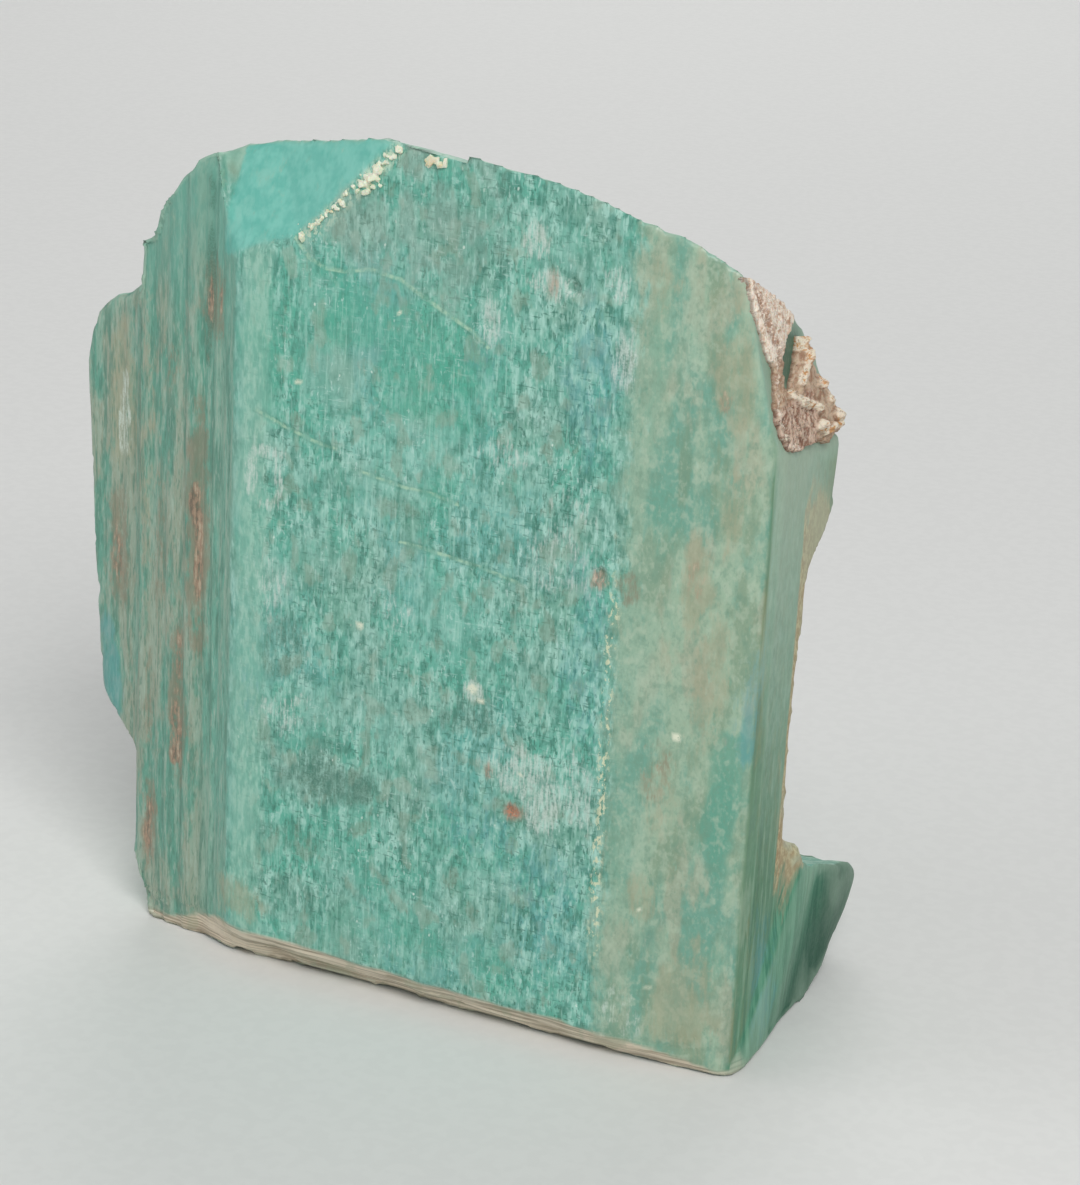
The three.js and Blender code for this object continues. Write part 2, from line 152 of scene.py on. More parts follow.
def plates(u, v, wide, high, seed):
    """Each point's plate has one height, 0 to 1, and leans a little."""
    gu, gv = u / wide, v / high
    iu, iv = np.floor(gu), np.floor(gv)
    nearest = np.full(np.shape(gu), 9.0)
    height = np.zeros(np.shape(gu))
    for a in (-1, 0, 1):
        for b in (-1, 0, 1):
            cu, cv = iu + a, iv + b
            du = gu - cu - chance(cu, cv, seed)
            dv = gv - cv - chance(cu, cv, seed + 1)
            gap = np.maximum(np.abs(du + 0.2 * dv), np.abs(dv - 0.15 * du))
            lean = 0.25 * (chance(cu, cv, seed + 3) - 0.5) * du
            won = gap < nearest
            height = np.where(won, chance(cu, cv, seed + 2) + lean, height)
            nearest = np.where(won, gap, nearest)
    return np.clip(height, 0, 1)


def ramp(value, low, high):
    """0 at low, 1 at high, eased between; low may be the larger."""
    t = np.clip((value - low) / (high - low), 0, 1)
    return t * t * (3 - 2 * t)

# %% [markdown]
# # Tools for fine meshes
# The crystal and the white grains go the same way: solids are put together in a bmesh, a voxel remesh
# turns them into one even skin, and array maths moves its points. These helpers hold the steps between.

# %% Tools for fine meshes
def mesh_object(name, bm):
    """A bmesh as an object in the scene."""
    mesh = bpy.data.meshes.new(name)
    bm.to_mesh(mesh)
    bm.free()
    obj = bpy.data.objects.new(name, mesh)
    bpy.context.scene.collection.objects.link(obj)
    return obj


def even_skin(obj, voxel_mm):
    """Replaces the mesh by an even skin of small squares round all its solids."""
    skin = obj.modifiers.new("skin", "REMESH")
    skin.mode, skin.voxel_size = "VOXEL", voxel_mm * MM
    seen = obj.evaluated_get(bpy.context.evaluated_depsgraph_get())
    baked = bpy.data.meshes.new_from_object(seen)
    obj.modifiers.clear()
    obj.data = baked
    print(obj.name, "skin:", len(baked.vertices), "points")
    return baked


def points_of(mesh):
    """Where the points are, in mm, one row each."""
    co = np.zeros(len(mesh.vertices) * 3, np.float32)
    mesh.vertices.foreach_get("co", co)
    return co.reshape(-1, 3).astype(float) / MM


def normals_of(mesh):
    """Which way the skin looks at each point."""
    out = np.zeros(len(mesh.vertices) * 3, np.float32)
    mesh.vertex_normals.foreach_get("vector", out)
    return out.reshape(-1, 3).astype(float)


def move_points(mesh, points):
    """Puts the points at new places, given in mm."""
    mesh.vertices.foreach_set("co", (points * MM).astype(np.float32).ravel())
    mesh.update()


def edges_of(mesh):
    """The two ends of each edge, as point numbers."""
    out = np.zeros(len(mesh.edges) * 2, np.int32)
    mesh.edges.foreach_get("vertices", out)
    return out.reshape(-1, 2)


def spread(mesh_edges, values, rounds):
    """Blurs one number per point over its neighbours."""
    a, b = mesh_edges.T
    count = np.bincount(mesh_edges.ravel(), minlength=len(values))
    for _ in range(rounds):
        total = np.bincount(a, values[b], len(values)) + np.bincount(b, values[a], len(values))
        values = 0.5 * values + 0.5 * total / count
    return values


def blurred(vectors, mesh_edges, rounds):
    """The same for points or normals, one row each."""
    return np.stack([spread(mesh_edges, column, rounds) for column in vectors.T], 1)


def bulge_of(mesh, rounds):
    """How far each point stands proud of its smoothed surroundings, in mm: above 0 on ridges."""
    at = points_of(mesh)
    return np.einsum("ij,ij->i", at - blurred(at, edges_of(mesh), rounds), normals_of(mesh))


def store(mesh, name, values):
    """Keeps one number per point in the mesh, under a name that a finish can read."""
    kept = mesh.attributes.new(name, "FLOAT", "POINT")
    kept.data.foreach_set("value", np.asarray(values, np.float32))


def triangle_count(mesh):
    return sum(len(f.vertices) - 2 for f in mesh.polygons)

# %% [markdown]
# # A working copy of the crystal
# The CAD crystal has long thin triangles, which can't be carved. It could be subdivided, but that
# keeps the slivers. A voxel remesh gives small even squares instead and keeps the flat faces flat.
# The CAD leaves 0.3 mm sockets round the albite grains. Real grains sit tight in the stone, so the
# sockets are plugged first with two small wedges that stay just under the two faces. A third block
# lifts the ragged crest behind the crust. The remesh leaves a few crest teeth a hair in front of the
# right bevel, so they are pressed back into its plane: the real crest runs straight into the face.

# %% A working copy of the crystal
FACE_Y, BEVEL_EDGE = -18.24, 21.35    # the big flat front face, and x where the right bevel starts
BEVEL_SLOPE = 0.195                   # how fast the bevel falls back
SHOULDER, OUT = np.array((29.75, -16.54, 69.1)), np.array((0.969, 0.048, 0.241))
ACROSS, UP = np.array((-0.0495, 0.9988, 0.0)), np.array((-0.2408, -0.0119, 0.9705))
SEAM_LOW, SEAM_HIGH = (-8.85, 66.9), (-0.05, 76.0)      # ends of the facet edge, x and z
FACET_TILT = math.radians(28)
VOXEL = 0.32                          # side of one square of the even skin
UNDER_FACE = 0.02                     # the plugs stay this far under the faces they fill
seam_run = np.array(SEAM_HIGH) - SEAM_LOW
seam_long = float(np.hypot(*seam_run))
seam_dir = seam_run / seam_long
seam_side = np.array((seam_dir[1], -seam_dir[0]))       # toward the flat face


def add_block(bm, ends):
    """A closed block between two outlines, in mm."""
    made = [[bm.verts.new(Vector(p) * MM) for p in end] for end in ends]
    bm.faces.new(made[0][::-1])
    bm.faces.new(made[1])
    for k in range(len(made[0])):
        m = (k + 1) % len(made[0])
        bm.faces.new((made[0][k], made[0][m], made[1][m], made[1][k]))


def seam_section(t):
    """The plug's outline at a share t along the facet edge."""
    slope = math.tan(FACET_TILT)
    out = []
    for s, y in ((-1.5, 1.5 * slope), (0, 0), (1.5, 0), (1.5, 1.6), (-1.5, 1.6)):
        x, z = np.array(SEAM_LOW) + seam_dir * t * seam_long + seam_side * s
        out.append((x, FACE_Y + y + UNDER_FACE, z))
    return out


work = bmesh.new()
work.from_mesh(frame["nodes"]["amazonite_crystal"].data)
bmesh.ops.remove_doubles(work, verts=work.verts, dist=1e-6)
add_block(work, [seam_section(-0.13), seam_section(0.96)])
knot_front = [(1.3, 73.6), (5.3, 73.6), (5.3, 75.9), (1.3, 76.1)]
add_block(work, [[(x, FACE_Y + UNDER_FACE, z) for x, z in knot_front],
                 [(x, FACE_Y + 1.3, z - 0.9 * (z > 75)) for x, z in knot_front]])
crest = [(4.0, -2.7), (5.6, -2.4), (7.0, -3.0), (8.4, -3.9), (10.0, -5.1), (11.0, -6.0), (12.2, -7.5),
         (13.5, -9.5), (14.3, -12.0), (6.0, -12.0), (3.5, -6.0)]          # across and up the shoulder
add_block(work, [[SHOULDER + ACROSS * c + UP * (d - drop) + OUT * out for c, d in crest]
                 for drop, out in ((0, -0.32), (3.2, -4.6))])
crystal = mesh_object("amazonite", work)
even_skin(crystal, VOXEL)
p = points_of(crystal.data)
overhang = FACE_Y + BEVEL_SLOPE * (p[:, 0] - BEVEL_EDGE) - p[:, 1]
p[:, 1] += np.where(p[:, 0] > BEVEL_EDGE, np.maximum(overhang, 0), 0)
move_points(crystal.data, p)
print("crest teeth pressed back by up to, mm:", round(float(overhang[p[:, 0] > BEVEL_EDGE].max()), 2))

# %% [markdown]
# # Know the faces
# Growth faces and broken faces are carved and coloured in different ways, so every point has to know
# where it is. The natural faces are planes, so the depth below each plane tells it. The two facets at
# the upper left meet in a shallow valley, so the stone there is whatever lies behind either of them.

# %% Know the faces
SLAB_TURN = math.tan(math.radians(13))
SLAB_EDGE = -15.0                          # x of the flat face's left border
SIDE_EDGE, SIDE_TOP = -28.0, 59.0          # the side crystal lies left of this x and below this z
ON_SLABS, ON_SIDE = (-18.45, -15.69, 0), (-28.15, -11.84, 0)       # a point on each of those faces
WALL_X = 32.9                              # the right wall
seam_angle = math.degrees(math.atan2(seam_dir[1], seam_dir[0]))
seam_foot = (SEAM_LOW[0], FACE_Y, SEAM_LOW[1])


def facet(angle):
    """Normal of a face tilted back over a line drawn at that angle on the front."""
    a = math.radians(angle + 90)
    tip = math.sin(FACET_TILT)
    return (math.cos(a) * tip, -math.cos(FACET_TILT), math.sin(a) * tip)


def know_faces(mesh):
    """How deep each point lies under its front face, and its share of each kind of face."""
    at, links = points_of(mesh), edges_of(mesh)
    x, y, z = at.T
    look = blurred(normals_of(mesh), links, 3)

    def under(point, normal):
        normal = np.array(normal, float) / np.linalg.norm(normal)
        return (np.array(point, float) - at) @ normal

    flat = under((0, FACE_Y, 0), (0, -1, 0))
    tilted = np.maximum(under(seam_foot, facet(seam_angle)), under(seam_foot, facet(22)))
    slabs = under(ON_SLABS, (-SLAB_TURN, -1, 0))
    on_side = (x < SIDE_EDGE) & (z < SIDE_TOP)
    on_slabs = (x < SLAB_EDGE) & ~on_side
    depth = np.select([on_side, on_slabs, x > BEVEL_EDGE],
                      [under(ON_SIDE, (-SLAB_TURN, -1, 0)), slabs,
                       under((BEVEL_EDGE, FACE_Y, 0), (BEVEL_SLOPE, -1, 0))], flat)
    depth = np.where(~on_side & (x > -16.5), np.minimum(depth, tilted), depth)
    share = {"front": ramp(depth, 1.6, 0.9) * ramp(look[:, 1], -0.2, -0.45)}
    front = share["front"]
    share["facets"] = front * ramp(flat - tilted, -0.05, 0.6) * ramp(x, -18.4, -15.4) * ramp(z, 60, 64)
    share["slabs"] = front * ramp(x, SLAB_EDGE + 1.0, SLAB_EDGE - 1.4) * (1 - share["facets"])
    share["strip"] = front * ramp(x, -15.6, -13.2) * ramp(x, -9.6, -13.0) * (1 - share["facets"])
    bent = x + 0.9 * noise(z / 7, 0, 0, 95) + 0.6 * noise(z / 2.2, 0, 0, 96)
    share["bevel"] = front * ramp(bent, BEVEL_EDGE - 2.6, BEVEL_EDGE + 1.8)
    share["flat"] = front * (1 - share["facets"]) * ramp(x, -13.6, -10.4) * (1 - share["bevel"])
    share["wall"] = ramp(look[:, 0], 0.25, 0.6) * ramp(under((WALL_X, 0, 0), (1, 0, 0)), 1.8, 0.9)
    share["wall"] = share["wall"] * ramp(y, 17, 12)
    share["left_wall"] = ramp(look[:, 0], -0.35, -0.7) * ramp(x, -26, -28)
    share["shoulder"] = ramp(under(SHOULDER, OUT), 1.3, 0.8) * ramp(z, 51, 53) * (1 - front)
    share["wall"] = share["wall"] * (1 - share["shoulder"])
    share["broken"] = np.clip(1 - front - share["wall"] - share["left_wall"] - share["shoulder"], 0, 1)
    return depth, share


p, n, links = points_of(crystal.data), normals_of(crystal.data), edges_of(crystal.data)
x, y, z = p.T.copy()
front_depth, share = know_faces(crystal.data)
broken = share["broken"]
print("share of the skin:", {k: round(float(v.mean()), 2) for k, v in share.items()})

# %% [markdown]
# # Split the broken faces into plates
# Feldspar cleaves on two planes nearly at right angles, so a broken face is a pile of small flat
# plates and steps, not round lumps. Displacing along the normal with plain noise would look like
# putty. Each broken face is sunk instead by plates of three sizes, along the axis it mostly faces.

# %% Split the broken faces into plates
def facing(axis, sign):
    """1 where the surface mostly looks along that axis."""
    return ramp(sign * n[:, axis], 0.4, 0.75)


leaning, rising = x + 0.08 * z, z + 0.22 * x            # the two cleavages as they cross the back
back_cut = 1.0 * plates(leaning, rising, 8, 20, 101) + 0.5 * plates(leaning, rising, 3.0, 8.5, 105)
back_cut += 0.22 * plates(leaning, rising, 1.2, 3.4, 109) + 0.12 * (1 + noise(x / 1.4, y / 1.4, z / 3, 3))
top_cut = 0.8 * plates(x + 0.3 * y, y - 0.2 * x, 5, 3.6, 111) + 0.4 * plates(x, y, 2.2, 1.4, 115)
top_cut += 0.12 * (1 + noise(x / 1.1, y / 1.1, z / 1.1, 4))
side_cut = 0.9 * plates(y, z, 4.5, 9, 121) + 0.4 * plates(y, z, 1.8, 3.6, 125)
side_cut += 0.12 * (1 + noise(x / 1.3, y / 1.3, z / 2.2, 5))
under_cut = 0.35 * plates(x, y, 6, 5, 131) + 0.15 * plates(x, y, 1.8, 1.5, 135)

under_shoulder = (SHOULDER - p) @ OUT
inner = 0.08 + 0.92 * ramp(front_depth, 1.0, 6.0)      # keeps the crest's own line
inner = inner * np.where(z > 50, ramp(under_shoulder, 1.0, 5.0), 1.0)
back_cut = np.minimum(back_cut, 0.5 * np.clip(front_depth - 0.4, 0, None))     # never through a thin tooth
p[:, 1] -= broken * facing(1, 1) * back_cut
p[:, 2] -= broken * facing(2, 1) * top_cut * inner * ramp(front_depth, 0.3, 1.2)
p[:, 0] -= broken * facing(0, 1) * side_cut * inner
p[:, 2] += broken * facing(2, -1) * under_cut * ramp(z, 6, 1)
ease_lips = 0.85 * broken * ramp(front_depth, 0.8, 2.2) * ramp(z, 0.6, 2.0)
p += (blurred(p, links, 4) - p) * ease_lips[:, None]    # a step's lip would crimp where two cuts meet
move_points(crystal.data, p)
print("deepest plate, mm:", round(float((broken * facing(1, 1) * back_cut).max()), 2))

# %% [markdown]
# # Growth lines on the left
# The slabs on the left and the side crystal grew as bundles of thin upright plates. Their edges show
# as fine ridges along the whole height. Grooves across the face are a function of the distance across
# it alone, so they run dead straight. A slow drift with height makes some of them fade in and out.

# %% Growth lines on the left
def growth_lines(u, z, seed):
    """Ridges across u that run along z: sharp on one side, as plate edges are."""
    out = 0
    for period, height in ((2.7, 0.10), (1.1, 0.08), (0.55, 0.05)):
        t = u / period + 0.12 * noise(u / (2 * period), z / 22, 0, seed + 7)
        step, after = (chance(np.floor(t) + k, np.floor(t) * 0, seed) for k in (0, 1))
        f = ramp(t - np.floor(t), 0.7, 1.0)
        out = out + height * (step * (1 - f) + after * f)
        seed += 11
    return out


slabs, left_wall = share["slabs"], share["left_wall"]
striated = np.clip(slabs + left_wall, 0, 1)
stairs = 0.22 * ramp(x, -23.6, -23.9) + 0.18 * ramp(x, -21.3, -21.6) + 0.12 * ramp(x, -19.9, -19.6)
groove = 0.25 * ramp(np.abs(x + 18.75 - 0.02 * (z - 62)), 0.8, 0.1) * ramp(z, 54, 62)
sink = striated * growth_lines(np.where(left_wall > 0.5, y, x), z, 200)
sink += slabs * (stairs * (x > SIDE_EDGE) + groove)
p -= n * sink[:, None]
move_points(crystal.data, p)
print("growth lines, deepest mm:", round(float(sink.max()), 2))

# %% [markdown]
# # The flat face: a peeled step, clefts and pits
# The big face is nearly true, with a slow swell under the light. At the upper right a thin sheet has
# split off along a curved crack, so the stone lies a hair lower there. A curved line is kept here as
# the signed distance from it: its sign says the side, and its size says how near the line is.

# %% The flat face: a peeled step, clefts and pits
PEEL = [(-9.6, 67.2), (-8.84, 66.5), (-7.9, 65.5), (-6.4, 64.9), (-4.6, 64.9), (-2.3, 65.4),
        (0.4, 65.0), (4.1, 63.1), (6.9, 61.8), (8.7, 60.5)]
CLEFTS = [[(-12.9, 51.9), (-10.2, 50.9), (-7.2, 50.0), (-4.5, 49.6)],
          [(-2.8, 48.2), (1.4, 47.5), (4.1, 47.4), (6.8, 46.9)],
          [(1.1, 42.8), (5.0, 42.4), (8.9, 41.9), (12.5, 41.2)]]
PITS = [(15.75, 66.7, 0.62, 0.5), (-11.6, 45.8, 0.3, 0.2), (19.4, 43.4, 0.55, 0.4),
        (12.7, 20.9, 0.45, 0.3), (25.2, 27.7, 0.35, 0.25), (8.6, 62.6, 0.5, 0.3)]


def line_distance(u, v, line):
    """Signed distance to a bent line in a plane, and how far along it, 0 to 1."""
    best = np.full(len(u), 1e9)
    along = np.zeros(len(u))
    count = len(line) - 1
    for m in range(count):
        (u0, v0), (u1, v1) = line[m], line[m + 1]
        du, dv = u1 - u0, v1 - v0
        t = np.clip(((u - u0) * du + (v - v0) * dv) / (du * du + dv * dv), 0, 1)
        eu, ev = u - u0 - du * t, v - v0 - dv * t
        gap = np.hypot(eu, ev)
        near = gap < np.abs(best)
        best = np.where(near, gap * np.where(du * ev - dv * eu > 0, 1.0, -1.0), best)
        along = np.where(near, (m + t) / count, along)
    return best, along


peel_gap, peel_along = line_distance(x, z, PEEL)
flat = share["flat"]
peeled = ramp(peel_gap, -0.15, 0.2) * ramp(peel_along, 1.0, 0.75) * ramp(z, 60, 63) * ramp(x, 12, 6)
sink = 0.05 * rough(x / 9, 0, z / 14, 2, 300) + 0.02 * rough(x / 1.2, 0, z / 5, 2, 310) + 0.16 * peeled
cleft_gap = np.abs(peel_gap) + 3 * (peel_along >= 1)
for line in CLEFTS:
    gap, along = line_distance(x, z, line)
    ends = ramp(along, 0, 0.15) * ramp(along, 1, 0.7)
    sink = sink + 0.10 * ramp(np.abs(gap), 0.45, 0.1) * ends
    cleft_gap = np.minimum(cleft_gap, np.abs(gap) + 0.5 * (1 - ends))
for px, pz, radius, deep in PITS:
    gap = np.hypot(x - px, (z - pz) * 0.85) * (1 + 0.15 * noise(x * 1.5, 0, z * 1.5, 320))
    sink = sink + deep * ramp(gap, radius * 1.25, radius * 0.5)
p[:, 1] += (flat + 0.8 * share["bevel"]) * sink
move_points(crystal.data, p)
print("peeled sheet covers", round(float((flat * peeled).sum() * VOXEL ** 2)), "square mm")

# %% [markdown]
# # Foot, chips and worn edges
# The lower front edge shows the ends of thin layers, so fine ledges are cut there along the height.
# The edge between the flat face and the slabs is worn round, the toe at the lower right bulges a little
# out of the right wall, and the rim of the bite above it is crumbly. Corners chip and wear first. How
# much an edge sticks out is measured from the mesh: each point is compared with the mean of its
# neighbours, and the value is spread a little before it is used.

# %% Foot, chips and worn edges
TOE_LINE = [(-5.4, 15.3), (-16.2, 0.3)]        # y and z on the right wall, the toe lies behind it
KNOB = np.array((32.2, -4.4, 16.2))            # a small lump where the toe meets the bite
foot = ramp(z, 3.6, 2.6) * ramp(n[:, 1], -0.1, -0.5) * ramp(y, -10, -12) * ramp(x, 31, 29)
layer = z / 0.42 + 0.5 * noise(x / 6, 0, z / 3, 400)
p[:, 1] += foot * 0.22 * chance(np.floor(layer), np.floor(x / 9 + 0.3 * layer), 401)
worn = ramp(np.abs(x - SLAB_EDGE), 1.7, 0.5) * ramp(front_depth, 1.2, 0.4) * ramp(z, 1, 4)
p += (blurred(p, links, 24) - p) * (0.95 * worn)[:, None]
# above the seam and the knot the crest runs nearly level
crest_top = 76.0 - 0.12 * np.maximum(x + 0.2, 0) + 0.06 * noise(x * 2, 0, 0, 402)
p[:, 2] = np.where((x > -3.6) & (x < 6.0), np.minimum(p[:, 2], crest_top), p[:, 2])
toe_gap, _ = line_distance(y, z, TOE_LINE)
p[:, 0] += share["wall"] * 0.45 * (ramp(toe_gap, 0, 2.5) - ramp(toe_gap, 5, 11))
toe = ramp(x, 28, 32) * ramp(y, 1, 7) * ramp(z, 24, 19)
p[:, 0] += 0.8 * toe * ramp(z, 2, 9)
p += (blurred(p, links, 60) - p) * (0.9 * toe * ramp(z, 1.0, 3.5))[:, None]
crumbs = ramp(n[:, 0], 0.97, 0.85) * ramp(n[:, 0], 0.0, 0.3)            # turned half away from the wall
crumbs = crumbs * ramp(x, 24, 27) * ramp(z, 13, 16) * ramp(z, 51, 48)
p += n * (0.3 * crumbs * ramp(y, -15.2, -13.5) * rough(x / 1.2, y / 1.2, z / 1.2, 3, 450))[:, None]
knob_gap = np.linalg.norm(p - KNOB, axis=1) + 0.5 * noise(x / 0.9, y / 0.9, z / 0.9, 403)
p += n * (0.45 * ramp(knob_gap, 1.7, 0.4))[:, None]
move_points(crystal.data, p)

n = normals_of(crystal.data)
bulge = spread(links, bulge_of(crystal.data, 6), 2)
edge = ramp(bulge, 0.03, 0.14)
edge_zone = ramp(spread(links, bulge, 14), 0.008, 0.05)
bite = rough(x / 2.3, y / 2.3, z / 2.3, 3, 410)
calm = 1 - 0.85 * ramp(front_depth, 2.0, 1.0) * ramp(z, 50, 58)         # the crest stays crisp
chips = edge_zone * np.clip(bite - 0.15, 0, 1) * 0.4 * calm * (1 - share["shoulder"])
chips = chips + edge * 0.06 * (1 + rough(x / 0.8, y / 0.8, z / 0.8, 2, 420))
chips = np.minimum(chips, 0.4) * np.where(z < 0.6, 0.3, 1.0)
p -= n * chips[:, None]
p[:, 2] = np.maximum(p[:, 2], 0.0)
move_points(crystal.data, p)
print("deepest chip, mm:", round(float(chips.max()), 2))

# %% [markdown]
# # Spend the triangles where they show
# The front needs the fine mesh, because marks a quarter of a millimetre wide are read from its points.
# The broken faces need less: their plates are flat inside. Collapsing edges keeps the ridges and thins
# out the flats, so only the points away from the front are handed to it.

# %% Spend the triangles where they show
def thin_out(obj, chosen, share):
    """Collapses edges among the chosen points until that share of their faces is left."""
    mesh = obj.data
    corner = np.zeros(len(mesh.loops), np.int32)
    mesh.loops.foreach_get("vertex_index", corner)
    start = np.zeros(len(mesh.polygons), np.int32)
    mesh.polygons.foreach_get("loop_start", start)
    mesh.vertices.foreach_set("select", chosen)
    mesh.edges.foreach_set("select", chosen[edges_of(mesh)].all(1))
    mesh.polygons.foreach_set("select", np.logical_and.reduceat(chosen[corner], start))
    for other in bpy.context.scene.objects:
        other.select_set(other == obj)          # edit mode takes in every selected mesh
    bpy.context.view_layer.objects.active = obj
    bpy.ops.object.mode_set(mode="EDIT")
    bpy.ops.mesh.select_mode(type="FACE")
    bpy.ops.mesh.decimate(ratio=share)
    bpy.ops.object.mode_set(mode="OBJECT")


KEPT_BEHIND = 0.3                          # share of the triangles that stays away from the front
before = triangle_count(crystal.data)
thin_out(crystal, share["front"] < 0.3, KEPT_BEHIND)
print("triangles:", before, "to", triangle_count(crystal.data))

# %% [markdown]
# # Mark the stone: where things lie
# Stains, films, veins and a little painted shade follow places, so they are painted on the points as
# plain numbers, one named layer each. The finish reads the layers and breaks their borders up with fine
# noise. Each blot is an oval on a face, given by its middle, its two half widths and its strength, with a
# wandering border.

# %% Mark the stone: where things lie
GREEN = [(3.0, 58.0, 5.0, 6.0, 1.0), (-11.0, 58.0, 3.0, 7.0, 0.8), (-3.0, 61.0, 6.0, 3.0, 0.8),
         (-4.0, 41.0, 4.0, 3.0, 0.4), (4.0, 46.0, 3.0, 2.0, 0.5), (-1.0, 7.5, 7.0, 1.8, 0.5),
         (30.8, 25.0, 1.6, 7.0, 0.9), (23.0, 62.0, 1.2, 8.0, 0.5), (24.5, 49.0, 1.6, 4.0, 0.5),
         (22.8, 20.0, 1.2, 6.0, 0.5), (31.0, 9.0, 1.0, 4.0, 0.6), (-18.0, 30.0, 1.6, 20.0, 0.4)]
PALE = [(1.0, 51.0, 6.0, 2.5, 0.8), (6.0, 36.0, 6.0, 5.0, 0.6), (1.0, 26.0, 6.0, 3.0, 0.6),
        (-14.0, 46.0, 1.2, 7.0, 0.6), (-14.0, 19.0, 1.4, 6.0, 0.5), (-14.0, 62.0, 1.4, 4.0, 0.6),
        (20.0, 6.0, 4.0, 3.0, 0.6), (6.0, 10.0, 5.0, 2.5, 0.4), (-9.0, 66.5, 3.0, 1.4, 0.7),
        (24.0, 22.0, 1.6, 5.0, 0.6), (25.5, 65.0, 1.4, 5.0, 0.6), (24.0, 35.0, 1.6, 4.0, 0.5),
        (-24.5, 67.0, 3.0, 4.0, 0.7)]
GREY = [(8.0, 70.0, 4.5, 4.0, 0.35), (16.0, 69.0, 3.5, 4.0, 0.35), (14.0, 56.0, 3.5, 6.0, 0.45),
        (15.0, 44.0, 4.0, 3.0, 0.5), (-10.0, 31.5, 2.5, 4.5, 0.6), (-6.0, 20.0, 4.5, 2.5, 0.9),
        (8.0, 29.0, 3.5, 1.8, 0.7), (-9.0, 8.0, 5.0, 2.4, 0.7), (3.0, 19.5, 4.0, 1.6, 0.5),
        (-11.0, 43.5, 1.6, 1.4, 0.5), (22.5, 42.5, 1.6, 2.0, 0.5), (26.0, 12.0, 2.0, 3.0, 0.5)]
CALM = [(0.0, 57.0, 8.0, 6.0, 0.8), (-12.5, 58.0, 2.5, 7.0, 1.0), (3.0, 50.0, 5.0, 3.0, 0.6),
        (5.0, 6.0, 12.0, 2.5, 0.6), (-13.5, 30.0, 1.2, 25.0, 0.7), (5.0, 36.0, 4.0, 3.0, 0.4)]
FILM = [(12.3, 70.4, 1.0, 1.8, 1.0), (13.8, 66.6, 2.0, 1.2, 0.8), (8.6, 62.6, 0.8, 1.8, 1.0),
        (19.5, 67.5, 0.9, 1.6, 0.7), (20.4, 62.0, 1.0, 2.4, 0.8), (13.0, 24.6, 2.8, 1.8, 0.9),
        (15.4, 21.8, 1.4, 2.6, 0.9), (18.6, 24.5, 1.4, 3.6, 0.6), (8.5, 31.0, 0.8, 0.8, 1.0),
        (-10.9, 36.0, 1.6, 3.0, 0.5), (-9.0, 25.0, 2.6, 2.2, 0.5), (-12.9, 46.6, 0.7, 2.2, 0.9),
        (-10.3, 46.4, 0.6, 2.0, 0.8), (-11.6, 48.3, 1.5, 0.6, 0.9), (-11.4, 43.6, 1.3, 0.6, 0.7),
        (10.0, 52.0, 2.0, 1.4, 0.5), (0.5, 36.5, 2.4, 1.6, 0.35), (-29.6, 46.0, 0.6, 3.2, 0.9),
        (16.5, 45.0, 3.5, 5.0, 0.35), (23.5, 5.0, 1.6, 3.0, 0.4), (-27.65, 34.0, 0.3, 13.0, 0.8)]
DOTS = [(26.6, 30.4, 0.42), (8.5, 31.2, 0.45), (-8.7, 54.9, 0.28), (0.5, 62.2, 0.22), (-2.2, 34.6, 0.28),
        (9.3, 30.2, 0.2), (24.5, 14.5, 0.2), (25.6, 7.5, 0.2), (13.2, 24.6, 0.22), (27.4, 9.6, 0.16),
        (26.2, 5.4, 0.16)]                                                         # x, z, radius
RUST = [(12.7, 20.9, 0.85, 0.85, 1.0), (10.4, 24.2, 0.5, 0.8, 0.5), (-20.2, 41.4, 0.5, 2.2, 1.0),
        (-19.8, 36.5, 0.45, 5.0, 0.8), (-22.0, 26.0, 0.5, 3.0, 0.6), (-22.2, 19.0, 0.6, 3.0, 0.8),
        (-30.5, 33.5, 0.7, 2.6, 0.6), (-25.6, 8.6, 0.5, 3.4, 0.7), (14.0, 66.8, 0.4, 1.2, 0.5),
        (19.4, 43.0, 0.7, 0.7, 0.6), (25.2, 27.7, 0.4, 1.2, 0.3), (28.6, 58.9, 0.4, 1.2, 0.5),
        (-18.9, 59.5, 0.3, 1.8, 0.7), (-17.4, 60.0, 0.2, 1.2, 0.6), (27.2, 44.0, 0.8, 1.8, 0.35)]
BROWN = [(-20.0, 39.0, 1.2, 10.0, 1.0), (-22.0, 23.0, 1.1, 7.5, 0.9), (-30.3, 34.5, 1.1, 6.0, 0.8),
         (-25.5, 9.0, 0.8, 5.0, 0.8), (-18.4, 59.5, 1.3, 3.8, 0.8), (25.3, 27.5, 1.2, 3.0, 0.5),
         (-23.3, 53.0, 0.8, 2.0, 0.5), (-24.4, 36.0, 0.8, 7.0, 0.5), (-25.6, 22.0, 0.7, 6.0, 0.5),
         (22.0, 42.5, 1.0, 1.6, 0.6)]
BLUE = [(18.0, 59.0, 2.4, 7.0, 0.6), (18.5, 36.0, 2.0, 9.0, 0.5), (15.5, 14.5, 3.6, 4.5, 0.5),
        (10.0, 18.5, 3.5, 2.0, 0.5), (-31.5, 21.5, 1.4, 5.0, 1.0), (8.5, 60.0, 1.6, 4.0, 0.4),
        (-12.9, 26.0, 1.2, 3.0, 0.4), (31.3, 33.0, 0.9, 4.0, 0.3)]
